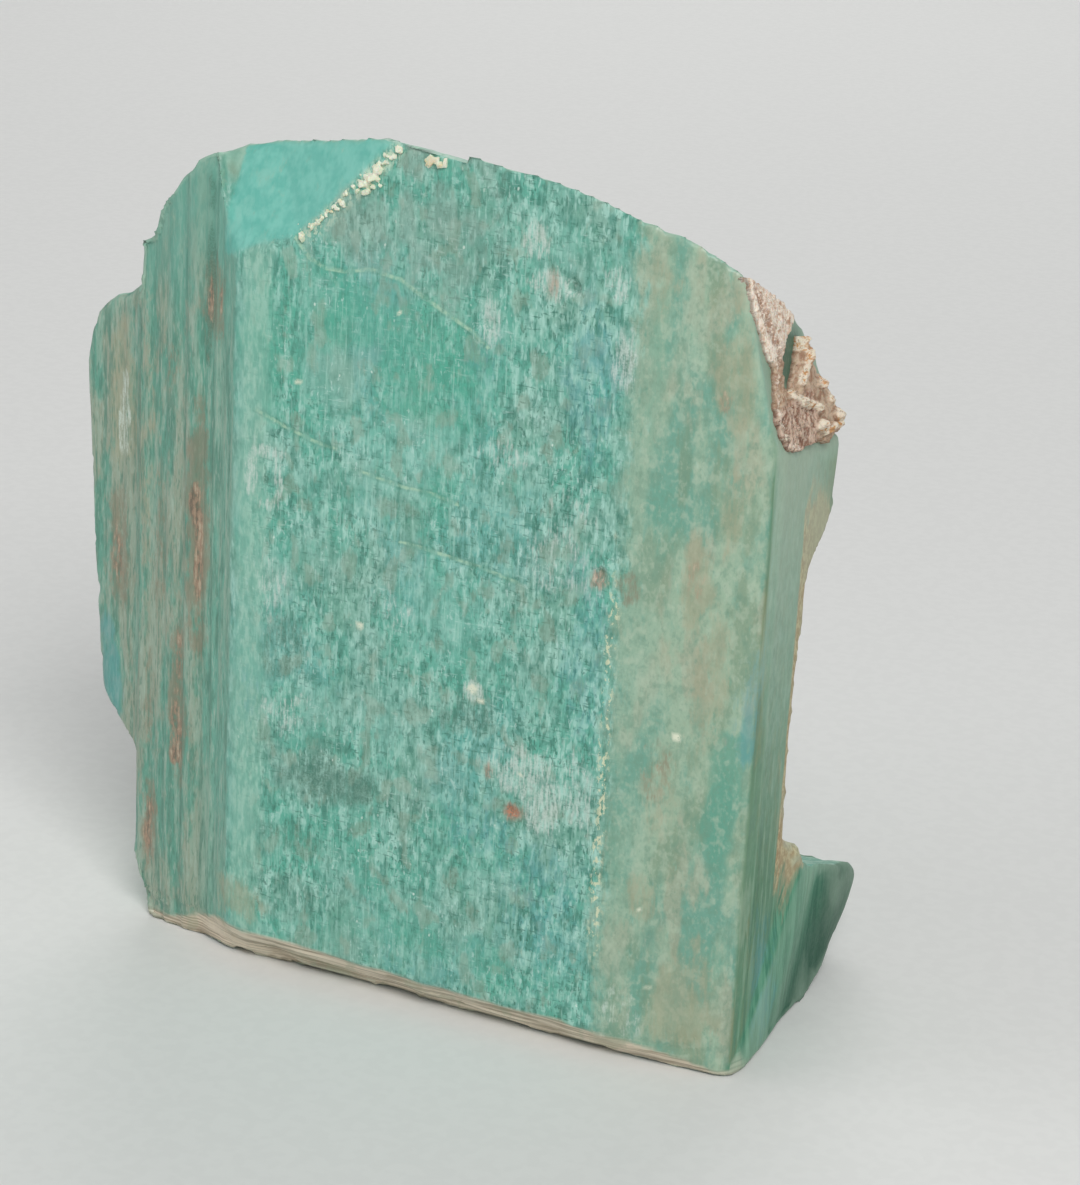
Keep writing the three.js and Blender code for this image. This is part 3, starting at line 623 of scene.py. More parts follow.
# smoky darker zones; the narrow row at x -18.9 is painted shade in the groove beside the facets, along with
# its dirt, and the small rows darken the pits
SMOKE_AND_SHADE = [(-4.6, 19.9, 4.5, 1.6, 0.8), (-8.0, 13.5, 3.5, 1.6, 0.5), (8.0, 28.5, 3.0, 1.6, 0.6),
         (-9.5, 31.5, 2.4, 3.5, 0.5), (-18.9, 61.5, 0.45, 7.0, 1.3), (15.8, 66.7, 0.5, 0.5, 1.0),
         (20.6, 61.6, 0.6, 1.0, 0.8), (-11.6, 45.8, 0.45, 0.5, 1.2), (12.9, 21.6, 0.5, 0.5, 0.6),
         (19.6, 43.8, 0.45, 0.4, 1.0), (8.4, 54.5, 1.4, 0.8, 0.5), (2.5, 45.3, 1.8, 0.7, 0.6)]
TAN = [(28.5, 6.5, 2.8, 5.0, 0.8), (25.5, 25.0, 1.6, 4.0, 0.5), (29.4, 61.0, 1.6, 7.0, 0.7),
       (27.4, 44.0, 1.4, 3.4, 0.9), (28.8, 36.0, 1.8, 6.0, 0.7), (-14.0, 6.5, 2.6, 2.0, 0.8),
       (24.5, 15.5, 1.4, 2.6, 0.6), (-29.8, 48.5, 1.8, 7.0, 0.7), (23.2, 68.0, 1.2, 3.0, 0.5),
       (29.8, 50.0, 0.9, 5.0, 0.6), (-26.0, 45.0, 1.4, 12.0, 0.4)]
WALL_TAN = [(-7.0, 47.5, 4.5, 3.6, 1.3), (-5.4, 15.3, 2.2, 1.2, 1.3)]       # y, z on the right wall
WALL_BLUE = [(-15.5, 33.4, 1.4, 5.0, 0.7), (-9.6, 5.5, 3.0, 4.0, 0.8)]
FOOT = [(-28.15, 0.3), (-22.15, 1.0), (-20.15, 1.9), (-16.05, 3.3), (-9.75, 3.5), (4.85, 2.8),
        (18.85, 2.6), (25.25, 1.9), (30.15, 0.9), (32.85, 0.5)]       # x, top of the layered foot

x, y, z = points_of(crystal.data).T
links = edges_of(crystal.data)
front_depth, share = know_faces(crystal.data)
wander = 0.9 * rough(x / 2.2, y / 2.2, z / 3.0, 3, 500)


def blots(rows, u=x, v=z, where=share["front"]):
    """The strongest of several ovals on one face, faded over a wandering border."""
    out = np.zeros(len(x))
    for u_at, v_at, half_wide, half_high, strength in rows:
        gap = np.hypot((u - u_at) / half_wide, (v - v_at) / half_high)
        out = np.maximum(out, strength * ramp(gap + 0.6 * wander, 1.6, 0.5))
    return out * where


for name, rows in (("green", GREEN), ("pale", PALE), ("grey", GREY), ("film", FILM), ("rust", RUST),
                   ("brown", BROWN), ("smoke_and_shade", SMOKE_AND_SHADE)):
    store(crystal.data, name, blots(rows))
for name, rows, wall_rows in (("blue", BLUE, WALL_BLUE), ("tan", TAN, WALL_TAN)):
    store(crystal.data, name, blots(rows) + blots(wall_rows, y, z, share["wall"]))
dots = [ramp(np.hypot(x - u, z - v) + 0.08 * wander, r * 1.15, r * 0.6) for u, v, r in DOTS]
store(crystal.data, "dot", share["front"] * np.max(dots, 0))
print("blots:", sum(len(rows) for rows in (GREEN, PALE, GREY, FILM, RUST, BROWN, BLUE, SMOKE_AND_SHADE, TAN)))

# %% [markdown]
# # Mark the stone: slow changes and edges
# The colour of a face drifts over several millimetres. Such slow noise could be nodes too, but every
# sample of a render would work it out again. Here it is worked out once for each point. Other layers
# say which face a point is on, and how near it is to a crack, the foot, the toe, a rim or a ridge.

# %% Mark the stone: slow changes and edges
def drift(wide, high, layers, seed):
    """Slow noise in standard scores: mostly from -2 to 2, and 0 on average."""
    value = rough(x / wide, y / wide, z / high, layers, seed)
    return (value - value.mean()) / value.std()


# each layer: width and height of its clouds in mm, layers of noise, seed
DRIFTS = {"clouds": (3.0, 4.2, 3, 550), "zones": (6.5, 9, 3, 555), "broad": (11, 13, 2, 560),
          "frost": (2.7, 3.8, 3, 565), "haze": (2.0, 2.9, 3, 570), "slab_zone": (2.6, 16, 3, 575),
          "sage_zone": (3.0, 11.0, 3, 580), "warm_zone": (2.2, 8.0, 3, 585),
          "olive_zone": (2.2, 8.0, 3, 590), "broken_zone": (1.5, 2.9, 2, 595)}
for name, how in DRIFTS.items():
    store(crystal.data, name, drift(*how))
busy = 0.78 + 0.14 * drift(4.5, 6.0, 3, 598) + 0.2 * ramp(x, 4, 16) - 0.5 * blots(CALM)
store(crystal.data, "busy", np.clip(busy, 0.25, 1.15))

gaps = [line_distance(x, z, line) for line in [PEEL] + CLEFTS]
line_gap = np.min([np.abs(g) + 3 * (a >= 1) + 3 * (a <= 0) for g, a in gaps], 0)
peel_gap, peel_along = gaps[0]
bulge = spread(links, bulge_of(crystal.data, 6), 2)
foot_top = np.interp(x, *zip(*FOOT)) + 0.25 * rough(x / 3, 0, z / 9, 2, 510)
look_x, look_y = (spread(links, c, 3) for c in normals_of(crystal.data).T[:2])
seam_gap, seam_along = line_distance(x, z, [SEAM_LOW, SEAM_HIGH])
lower = ramp(peel_gap, -0.3, 0.3) * ramp(peel_along, 1.0, 0.75) * ramp(x, 14, 6)
dust = ramp(np.abs(seam_gap + 0.2), 1.0, 0.2) * (seam_along > 0.02) * (seam_along < 0.98)
window_gap = np.hypot((y + 9.4) / 2.9, (z - 61.2) / 2.8) + 0.3 * wander
grain_gap = np.abs(x - 20.7 + 0.5 * noise(z / 3, 0, 0, 520))

# the toe, and the tan rim of the bite, which follows the wall's own back border
toe_gap, _ = line_distance(y, z, TOE_LINE)
toe_side = ramp(x, 26, 29) * ramp(look_x, 0.0, 0.3)
knob = ramp(np.linalg.norm(np.stack([x, y, z], 1) - KNOB, axis=1) + 0.5 * wander, 2.4, 1.2)
on_wall = (share["wall"] > 0.5) & (look_x > 0.88)        # the flat part, before it rounds into the bite
levels = np.arange(8.0, 56.0, 0.8)
reach = [y[on_wall & (np.abs(z - level) < 0.8)].max(initial=-14.0) for level in levels]
rim_line = np.interp(z, levels, reach) - 1.1 - 1.5 * ramp(z, 24, 36)
rim_line = rim_line - 0.5 * noise(z / 2.5, 0, 0, 540) - 0.4 * noise(z / 0.8, 0, 0, 541)
fade = ramp(y + 3 * noise(y / 4, z / 4, 0, 545), 1, -5)       # the tan skin thins out behind, in tongues
rim = ramp(y - rim_line, -0.4, 0.4) * ramp(x, 24, 26) * ramp(z, 13, 16) * ramp(z, 49.5, 47.5) * fade

for name in ("flat", "facets", "slabs", "left_wall", "strip", "bevel", "broken", "shoulder"):
    store(crystal.data, name, share[name])
for name, values in {
        "wall_skin": share["wall"] * ramp(look_x, 0.72, 0.93),
        "crack": line_gap,
        "peeled": share["flat"] * lower,
        "foot": ramp(z - foot_top, 0.25, -0.15) * ramp(y, -8, -11) * ramp(look_y, 0.1, -0.3),
        # where a painted highlight is laid along the ridges and edges
        "ridge": ramp(bulge, 0.02, 0.12),
        "hollow": ramp(-spread(links, bulge, 6), 0.005, 0.06),
        "beside": ramp(x, 26.5, 21),
        "near_front": ramp(front_depth, 3.0, 1.0),
        "high_up": ramp(z + 3 * noise(x / 4, y / 4, z / 6, 530), 54, 68),
        "near_strip": ramp(x, -20.4, -17.6) * ramp(z, 0, 4),
        "seam_dust": share["front"] * dust,
        "toe": toe_side * ramp(toe_gap + 0.4 * wander, -0.3, 0.7),
        # painted shade: the back of the toe, where it turns away from the light, is darkened in the colour
        "toe_back_shade": toe_side * ramp(toe_gap + 0.5 * wander, 4.0, 13.0),
        "wall_rim": np.maximum(rim * ramp(y, -15.6, -14.6), knob),
        "window": share["shoulder"] * ramp(window_gap, 1.5, 0.8),
        "grains": share["front"] * ramp(grain_gap, 0.7, 0.15) * ramp(z, 8, 12) * ramp(z, 46, 40)}.items():
    store(crystal.data, name, values)
print("layers:", [a.name for a in crystal.data.attributes if a.data_type == "FLOAT"])

# %% [markdown]
# # A bench for finishes
# A finish is a tree of nodes. Wiring it by hand hides the thought, so a small helper class writes the
# nodes for sums and blends: `both` multiplies, `between` turns a range into 0 to 1, `paint` lays a
# colour over another and `coats` lays several. Positions are taken in mm, so each noise can be sized
# as it is on the stone.

# %% A bench for finishes
FELDSPAR_IOR = 1.53                        # how strongly both minerals bend light


def srgb(red, green, blue):
    """A colour picked on screen, as the linear light that shaders add up."""
    out = [c / 255 / 12.92 if c <= 10.3 else ((c / 255 + 0.055) / 1.055) ** 2.4 for c in (red, green, blue)]
    return (*out, 1.0)


class Finish:
    """One material and the few kinds of node it needs."""

    def __init__(self, name):
        self.material = bpy.data.materials.new(name)
        self.material.use_nodes = True
        self.tree = self.material.node_tree
        self.shader = self.tree.nodes["Principled BSDF"]
        place = self.tree.nodes.new("ShaderNodeTexCoord").outputs["Object"]
        self.mm = self.node("ShaderNodeVectorMath", 0, {0: place, "Scale": 1 / MM}, operation="SCALE")

    def node(self, kind, out, put, **settings):
        """Adds one node, fills its inputs with values or links, and gives one output."""
        made = self.tree.nodes.new(kind)
        for key, value in settings.items():
            setattr(made, key, value)
        for key, value in put.items():
            if isinstance(value, bpy.types.NodeSocket):
                self.tree.links.new(value, made.inputs[key])
            else:
                made.inputs[key].default_value = value
        return made.outputs[out]

    def both(self, *parts):
        out = parts[0]
        for part in parts[1:]:
            out = self.node("ShaderNodeMath", 0, {0: out, 1: part}, operation="MULTIPLY")
        return out

    def plus(self, *parts):
        out = parts[0]
        for part in parts[1:]:
            out = self.node("ShaderNodeMath", 0, {0: out, 1: part}, operation="ADD")
        return out

    def either(self, a, b):
        return self.node("ShaderNodeMath", 0, {0: a, 1: b}, operation="MAXIMUM")

    def flip(self, a):
        return self.node("ShaderNodeMath", 0, {0: 1.0, 1: a}, operation="SUBTRACT")

    def between(self, value, low, high, start=0.0, end=1.0):
        """start at low, end at high, eased."""
        put = {"Value": value, 1: low, 2: high, 3: start, 4: end}
        return self.node("ShaderNodeMapRange", "Result", put, interpolation_type="SMOOTHSTEP")

    def layer(self, name):
        return self.node("ShaderNodeAttribute", "Fac", {}, attribute_name=name)

    def placed(self, per_mm, shift):
        start = (shift, shift * 0.7, shift * 1.3)
        return self.node("ShaderNodeMapping", 0, {"Vector": self.mm, "Location": start, "Scale": per_mm})

    def noise(self, per_mm, detail=2.0, rough=0.5, shift=0.0, warp=0.0):
        """Noise from 0 to 1; per_mm is bumps per mm along x, y and z."""
        put = {"Vector": self.placed(per_mm, shift), "Scale": 1.0, "Detail": detail,
               "Roughness": rough, "Distortion": warp}
        return self.node("ShaderNodeTexNoise", 0, put)

    def cells(self, per_mm, shift=0.0):
        """Distance to the nearest of scattered spots, in cells."""
        put = {"Vector": self.placed(per_mm, shift), "Scale": 1.0}
        return self.node("ShaderNodeTexVoronoi", "Distance", put)

    def paint(self, under, colour, *amount):
        """Lays a colour over another by an amount from 0 to 1."""
        return self.node("ShaderNodeMix", 2, {0: self.both(*amount), 6: under, 7: colour}, data_type="RGBA")

    def coats(self, under, *coats):
        """Coat over coat, the first one first: each is a colour on screen, then its amounts."""
        for colour, *amount in coats:
            under = self.paint(under, srgb(*colour), *amount)
        return under

    def relief(self, height_mm):
        """Bump from a height in mm."""
        return self.node("ShaderNodeBump", 0, {"Height": height_mm, "Distance": MM, "Strength": 1.0})

    def set(self, **values):
        for key, value in values.items():
            socket = self.shader.inputs[key.replace("_", " ")]
            if isinstance(value, bpy.types.NodeSocket):
                self.tree.links.new(value, socket)
            else:
                socket.default_value = value


def dress(obj, finish, node):
    """Smooth shading, one finish, its body and the CAD solid it stands for."""
    obj.data.materials.clear()
    obj.data.materials.append(finish.material)
    obj.data.polygons.foreach_set("use_smooth", [True] * len(obj.data.polygons))
    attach(obj, "root")
    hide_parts(node)
    print(obj.name, "triangles:", triangle_count(obj.data), "nodes in its finish:", len(finish.tree.nodes))

# %% [markdown]
# # The amazonite finish: base greens
# Amazonite is microcline laced with thin white blades of albite, so its green is never even: fine
# upright threads run through it, some paler and some darker. The colour starts as a soft green, the slow
# layers shift it, and fine noise adds the threads. Then each kind of face takes its own cast: the facets
# a brighter turquoise, the slabs on the left a grey green, the bevel on the right a sage.

# %% The amazonite finish: base greens
stone = Finish("amazonite")
faces = {name: stone.layer(name) for name in (
    "flat", "facets", "slabs", "left_wall", "strip", "bevel", "wall_skin", "broken", "shoulder", "window",
    "busy", "grains", "beside", "near_strip", "seam_dust", "wall_rim", "toe", "toe_back_shade", "dot",
    "near_front", "high_up", "ridge", "hollow", "peeled", "foot")}
speckle = stone.noise((2.6, 2.6, 1.6), 3, 0.65, 31.0)
ragged = stone.noise((1.1, 1.1, 0.4), 3, 0.7, 33.0)
fibre = stone.noise((4.2, 4.2, 0.65), 2, 0.65, 2.2)
threads = stone.noise((1.3, 1.3, 0.13), 2, 0.65, 4.2)
stripes = stone.noise((2.1, 2.1, 0.7), 2, 0.62, 1.3)
middle = stone.noise((0.9, 0.9, 0.7), 2, 0.65, 11.0)
shake = stone.plus(ragged, -0.5)


def slow(name, low, high):
    """A slow layer turned into 0 to 1 between two scores, its borders shaken by fine noise."""
    return stone.between(stone.plus(stone.layer(name), stone.both(shake, 5.0)), low, high)


def torn(mask, amount=0.9, low=0.35, high=0.65):
    """A mask with its border torn by noise."""
    return stone.between(stone.plus(mask, stone.both(shake, amount)), low, high)


def stain(name, tear):
    """A painted layer with its border broken up, mostly along the threads."""
    grain = stone.plus(stone.both(speckle, 0.6), ragged, stone.both(fibre, 0.7), -1.15)
    ragged_layer = stone.plus(stone.layer(name), stone.both(grain, tear))
    return stone.both(stone.between(ragged_layer, 0.2, 0.9), stone.between(stone.layer(name), 0.02, 0.3))


clouds, zones, broad = slow("clouds", -1.2, 1.2), slow("zones", 0.0, 1.4), slow("broad", 0.0, 1.4)
busy = faces["busy"]
colour = stone.paint(srgb(98, 174, 154), srgb(130, 186, 170), clouds)
colour = stone.coats(
    colour,
    ((86, 176, 152), zones, 0.5),
    ((136, 168, 150), slow("zones", -0.2, -1.6), 0.4),
    ((104, 174, 172), broad, 0.4),
    ((78, 172, 146), stain("green", 0.9), 0.7),
    ((136, 196, 182), stain("pale", 0.9), 0.55),
    ((116, 150, 136), stain("grey", 1.0), 0.6),
    ((82, 144, 128), stone.between(middle, 0.48, 0.36), busy, 0.7),
    ((160, 208, 192), stone.between(middle, 0.52, 0.65), busy, 0.6),
    ((64, 130, 112), stone.between(stripes, 0.47, 0.34), busy, 0.75),
    ((174, 220, 206), stone.between(stripes, 0.53, 0.66), busy, 0.65))

facet_colour = stone.paint(srgb(92, 180, 164), srgb(112, 192, 176), stone.between(middle, 0.35, 0.65))
facet_colour = stone.paint(facet_colour, srgb(86, 166, 152), broad, 0.6)
facet_colour = stone.paint(facet_colour, srgb(140, 200, 184), slow("clouds", 0.2, 1.8), 0.5)
colour = stone.paint(colour, facet_colour, torn(faces["facets"], 1.4, 0.15, 0.85), 0.98)

slab_zone = slow("slab_zone", -1.0, 1.0)
slab_colour = stone.paint(srgb(96, 154, 134), srgb(150, 160, 140), slab_zone)
slab_colour = stone.coats(
    slab_colour,
    ((150, 150, 130), stone.between(ragged, 0.52, 0.64), 0.4),
    ((112, 174, 154), faces["near_strip"], 0.7),
    ((82, 130, 112), stone.between(threads, 0.47, 0.38), 0.65),
    ((160, 180, 162), stone.between(threads, 0.53, 0.62), 0.5),
    ((74, 120, 102), stone.between(fibre, 0.46, 0.36), 0.55),
    ((174, 192, 176), stone.between(fibre, 0.55, 0.66), 0.45),
    ((108, 168, 150), faces["high_up"], 0.65))
colour = stone.paint(colour, slab_colour, torn(stone.either(faces["slabs"], faces["left_wall"]), 0.9), 0.9)
strip_colour = stone.paint(srgb(126, 184, 164), srgb(156, 200, 180), stone.between(stripes, 0.4, 0.6))
colour = stone.paint(colour, strip_colour, torn(faces["strip"], 1.4, 0.15, 0.95), 0.7)

sage = stone.paint(srgb(158, 184, 158), srgb(112, 164, 144), slow("sage_zone", -1.2, 1.2))
sage = stone.coats(
    sage,
    ((178, 174, 148), slow("warm_zone", 0.2, 1.8), 0.6),
    ((124, 146, 118), slow("olive_zone", -0.3, -1.9), 0.6),
    ((124, 174, 154), faces["beside"], 0.35),
    ((98, 160, 138), stain("green", 0.5), 0.8),
    ((168, 194, 170), stain("pale", 0.9), 0.6),
    ((116, 146, 126), stain("grey", 0.9), 0.6),
    ((114, 152, 130), stone.between(middle, 0.47, 0.34), 0.4),
    ((182, 198, 174), stone.between(middle, 0.53, 0.66), 0.4),
    ((114, 148, 126), stone.between(speckle, 0.48, 0.34), 0.35),
    ((182, 198, 174), stone.between(speckle, 0.52, 0.68), 0.3))
colour = stone.paint(colour, sage, torn(faces["bevel"], 2.0, 0.15, 0.85), 0.95)

wall_colour = stone.paint(srgb(84, 128, 94), srgb(114, 126, 86), slab_zone)
wall_colour = stone.paint(wall_colour, srgb(144, 168, 142), stone.between(threads, 0.53, 0.63), 0.5)
wall_colour = stone.paint(wall_colour, srgb(80, 118, 96), stone.between(threads, 0.47, 0.38), 0.5)
colour = stone.paint(colour, wall_colour, faces["wall_skin"], 0.9)
toe_colour = stone.paint(srgb(52, 128, 100), srgb(92, 158, 128), stone.between(threads, 0.4, 0.6))
colour = stone.paint(colour, toe_colour, faces["toe"], 0.9)
# painted shade: the back of the toe darkened to a near black green
colour = stone.paint(colour, srgb(28, 78, 58), faces["toe_back_shade"], 0.85)
broken_colour = stone.paint(srgb(98, 156, 136), srgb(150, 190, 170), slow("broken_zone", -1.3, 1.3))
broken_colour = stone.paint(broken_colour, srgb(156, 194, 172), faces["near_front"], 0.85)
colour = stone.paint(colour, broken_colour, faces["broken"], stone.flip(faces["toe"]), 0.85)
skin_colour = stone.paint(srgb(126, 154, 132), srgb(150, 166, 142), clouds)
colour = stone.paint(colour, skin_colour, faces["shoulder"], 0.9)
colour = stone.paint(colour, srgb(58, 96, 78), faces["window"], 0.85)
rim_colour = stone.paint(srgb(172, 138, 96), srgb(210, 190, 148), stone.between(speckle, 0.42, 0.6))
colour = stone.paint(colour, rim_colour, torn(faces["wall_rim"], 0.9, 0.25, 0.65), 0.85)

# %% [markdown]
# # The amazonite finish: flecks, films and stains
# The flat face is full of small dark dashes and hair-thin white blades. They come in clusters, so each
# kind is a fine noise cut off at a level and then gated by a slow layer. Over them lie the painted
# layers. A stain's border is torn by noise before it is used: an even oval never looks like a stain.

# %% The amazonite finish: flecks, films and stains
dashes = stone.noise((3.2, 3.2, 1.3), 2, 0.6, 9.4)
rungs = stone.noise((0.8, 0.8, 3.4), 2, 0.6, 19.4)
blades = stone.noise((4.6, 4.6, 0.22), 2, 0.6, 45.0)
points = stone.noise((5.5, 5.5, 5.5), 1, 0.6, 29.4)
frosted = stone.between(stone.layer("frost"), -0.4, 1.2, 0.2, 1.0)
even = stone.either(faces["flat"], stone.both(faces["strip"], 0.5))
dark = stone.either(stone.between(dashes, 0.42, 0.32), stone.both(stone.between(rungs, 0.42, 0.32), 0.9))
colour = stone.paint(colour, srgb(46, 108, 92), dark, busy, even, 0.66)
pale = stone.either(stone.between(dashes, 0.59, 0.7), stone.both(stone.between(rungs, 0.58, 0.7), 0.7))
colour = stone.coats(
    colour,
    ((188, 222, 212), pale, frosted, even, 0.6),
    ((174, 218, 202), stone.between(blades, 0.57, 0.7), even, 0.35),
    ((80, 144, 128), stone.between(blades, 0.43, 0.31), even, 0.35),
    ((146, 164, 144), slow("haze", 0.6, 1.8), faces["flat"], 0.4))
# painted highlights: tiny white glints scattered over the flat face
painted_glint_at = stone.plus(stone.cells((0.7, 0.7, 0.5), 3.0), stone.both(stone.plus(speckle, -0.5), 0.25))
colour = stone.paint(colour, srgb(214, 232, 220), stone.between(painted_glint_at, 0.08, 0.03), frosted, even, 0.8)
strokes = stone.between(fibre, 0.4, 0.6)
grit = stone.between(points, 0.3, 0.66)

colour = stone.coats(
    colour,
    ((88, 158, 162), stain("blue", 1.1), 0.5),
    ((168, 162, 132), stain("tan", 1.0), 0.5),
    ((134, 126, 104), stain("brown", 1.4), 0.65))
dark_grit = stone.plus(stone.both(grit, -0.4), 0.8)
# smoky zones and darker pits, plus painted shade in the groove beside the facets
colour = stone.paint(colour, srgb(62, 112, 94), stain("smoke_and_shade", 1.3), dark_grit, 0.8)
streaky = stone.plus(stone.both(strokes, 0.55), stone.both(grit, 0.3), 0.05)
colour = stone.paint(colour, srgb(204, 220, 210), stain("film", 1.6), streaky, 0.85)
grain = stone.plus(stone.both(fibre, 0.6), stone.both(speckle, 0.4))
rust_colour = stone.paint(srgb(102, 80, 66), srgb(170, 134, 112), stone.between(grain, 0.42, 0.54))
rust_colour = stone.paint(rust_colour, srgb(206, 190, 164), stone.between(grain, 0.54, 0.62), 0.6)
colour = stone.paint(colour, srgb(176, 140, 116), stone.layer("rust"), faces["flat"], 0.5)
colour = stone.paint(colour, rust_colour, stain("rust", 1.5), 0.7)
colour = stone.paint(colour, srgb(196, 128, 96), stone.between(stone.layer("rust"), 0.6, 1.0), faces["flat"],
                     stone.between(points, 0.35, 0.6), 0.8)
colour = stone.paint(colour, srgb(226, 230, 206), faces["dot"], stone.between(points, 0.25, 0.4), 0.95)

colour = stone.paint(colour, srgb(222, 224, 188), faces["grains"], stone.between(speckle, 0.52, 0.6), 0.85)
colour = stone.paint(colour, srgb(206, 224, 198), faces["seam_dust"], stone.between(speckle, 0.46, 0.6), 0.8)
crack_at = stone.plus(stone.layer("crack"), stone.both(stone.plus(speckle, -0.5), 0.16))
colour = stone.coats(
    colour,
    ((84, 140, 118), stone.between(crack_at, 0.42, 0.2), 0.25),
    ((176, 212, 182), stone.between(crack_at, 0.22, 0.05), stone.between(ragged, 0.38, 0.6, 0.1, 0.8)),
    ((144, 168, 154), faces["peeled"], clouds, 0.4))
foot_line = stone.noise((0.1, 0.1, 3.4), 2, 0.6, 41.0)
foot_colour = stone.paint(srgb(166, 148, 126), srgb(226, 210, 188), stone.between(foot_line, 0.38, 0.58))
foot_colour = stone.paint(foot_colour, srgb(158, 162, 134), slow("clouds", 0.4, 1.6), 0.4)
colour = stone.paint(colour, foot_colour, faces["foot"], 0.9)
# painted highlight: a pale line laid along the ridges and edges
colour = stone.paint(colour, srgb(182, 208, 186), faces["ridge"], 0.35)
colour = stone.paint(colour, srgb(150, 134, 104), faces["hollow"], faces["broken"], 0.3)

# %% [markdown]
# # The amazonite finish: relief and gloss
# Fresh cleavage is glassy, worn skin is dull, and the two lie side by side on one face. Gloss follows
# the same noise as the colour, so that the paler, weathered patches are also the rougher ones. The fine
# relief is stronger on the flat face than on the facets, and the right wall is the dullest.

# %% The amazonite finish: relief and gloss
fine = stone.plus(stone.both(stripes, 0.026), stone.both(dashes, 0.028))
height = stone.both(fine, stone.plus(1.0, stone.both(faces["facets"], -0.8)))
height = stone.plus(height, stone.both(fibre, stone.either(faces["slabs"], faces["left_wall"]), 0.05))
gloss = stone.between(stone.plus(stone.both(clouds, 0.2), speckle), 0.4, 0.8, 0.36, 0.56)
dull = stone.plus(gloss, stone.both(stone.either(faces["wall_skin"], faces["toe"]), 0.22),
                  stone.both(faces["broken"], 0.12))
stone.set(Base_Color=colour, Roughness=dull, Normal=stone.relief(height), IOR=FELDSPAR_IOR)
dress(crystal, stone, "amazonite_crystal")

# %% [markdown]
# # The albite crust on the shoulder
# A skin of albite grew over the sloping shoulder at the upper right and is stained by iron. It has a
# smooth lobe with a raised rim at the top, a gap that bares the green stone, a patch of coarse fibres
# below and a row of lumps behind. A voxel skin fine enough for the fibres would be huge, so the crust is
# a height field instead: a fine grid in the shoulder's own axes (across, up and out), one height for
# each of its points, cut off at a ragged border, with a flat base and a wall to close it.

# %% The albite crust on the shoulder
CRUST_EDGE = [
    (-0.1, 0.4), (1.6, -0.5), (4.2, -1.8), (6.2, -3.0), (7.6, -4.3), (7.5, -5.2), (6.1, -6.0),
    (4.5, -7.4), (3.7, -8.7), (3.8, -10.0), (5.0, -9.8), (6.3, -9.0), (7.6, -7.8), (8.9, -6.4),
    (9.8, -8.0), (10.8, -10.0), (11.9, -10.7), (13.1, -12.4), (15.0, -14.3), (15.1, -15.0),
    (13.9, -15.8), (12.6, -15.7), (11.2, -16.1), (9.4, -15.3), (6.7, -15.2), (4.2, -15.0),
    (2.6, -14.4), (1.5, -13.0), (1.0, -11.8), (1.0, -10.4), (1.7, -9.1), (2.2, -7.8), (1.4, -6.3),
    (0.7, -4.5), (0.2, -2.4)]       # across, up
RIM = [(0.2, -0.1), (0.5, -2.4), (1.1, -4.4), (1.9, -6.2), (2.6, -7.7), (2.0, -9.2), (1.4, -10.6),
       (1.5, -11.9), (2.1, -13.2), (3.2, -14.3), (5.0, -14.8)]
STAIN_LINE = [(0.9, -0.9), (1.2, -2.4), (1.9, -4.2), (2.8, -5.9), (3.3, -7.0)]
RIDGES = [[(9.0, -6.8), (8.5, -7.5), (8.5, -8.3), (7.4, -9.1), (6.6, -9.8)],
          [(4.2, -9.6), (4.6, -10.3), (5.6, -11.1), (7.2, -11.9)]]
LUMPS = [(10.4, -10.8, 0.9, 0.45, 0.7), (8.2, -12.3, 0.7, 0.45, 0.6), (8.6, -13.9, 0.9, 0.5, 0.8),
         (10.0, -14.6, 1.0, 0.45, 0.7), (11.5, -14.8, 0.8, 0.4, 0.5), (13.5, -14.3, 1.1, 0.6, 0.7),
         (13.2, -15.1, 1.0, 0.4, 0.6), (12.2, -12.6, 0.7, 0.8, 0.5), (9.2, -7.7, 0.7, 0.7, 0.3)]


def inside(loop, a, b):
    """True for points within a closed loop."""
    hit = np.zeros(len(a), bool)
    for (a0, b0), (a1, b1) in zip(loop, loop[1:] + loop[:1]):
        if b0 != b1:
            hit ^= ((b0 > b) != (b1 > b)) & (a < a0 + (b - b0) * (a1 - a0) / (b1 - b0))
    return hit


STEP_A, STEP_B = 0.11, 0.10                # the grid's steps, mm
CRUST_BASE = 0.8                           # how deep the flat base lies under the shoulder, mm
columns, rows_up = np.arange(-0.8, 16.0, STEP_A), np.arange(-16.9, 1.2, STEP_B)
a, b = (g.ravel() for g in np.meshgrid(columns, rows_up, indexing="ij"))
ragged_a = a + 0.22 * rough(a / 0.9, b / 0.7, 0, 3, 600)
ragged_b = b + 0.16 * rough(a / 0.8, b / 0.7, 9, 3, 605)
edge_gap, _ = line_distance(ragged_a, ragged_b, CRUST_EDGE + CRUST_EDGE[:1])
edge_gap = np.abs(edge_gap) * np.where(inside(CRUST_EDGE, ragged_a, ragged_b), 1, -1)
rim_gap, _ = line_distance(ragged_a, ragged_b, RIM)
stain_gap, _ = line_distance(ragged_a, ragged_b, STAIN_LINE)
rim = ramp(np.abs(rim_gap + 0.2 * noise(a / 0.4, b / 0.3, 0, 609)), 0.32, 0.04)
rim = rim * ramp(rough(a / 0.7, b / 0.45, 0, 3, 610), -0.45, 0.15)
fibrous = ramp(b + 0.3 * noise(a, b, 0, 612), -10.4, -11.2) * ramp(a, 8.8, 7.6)
lobe = ramp(b, -7.6, -6.8)
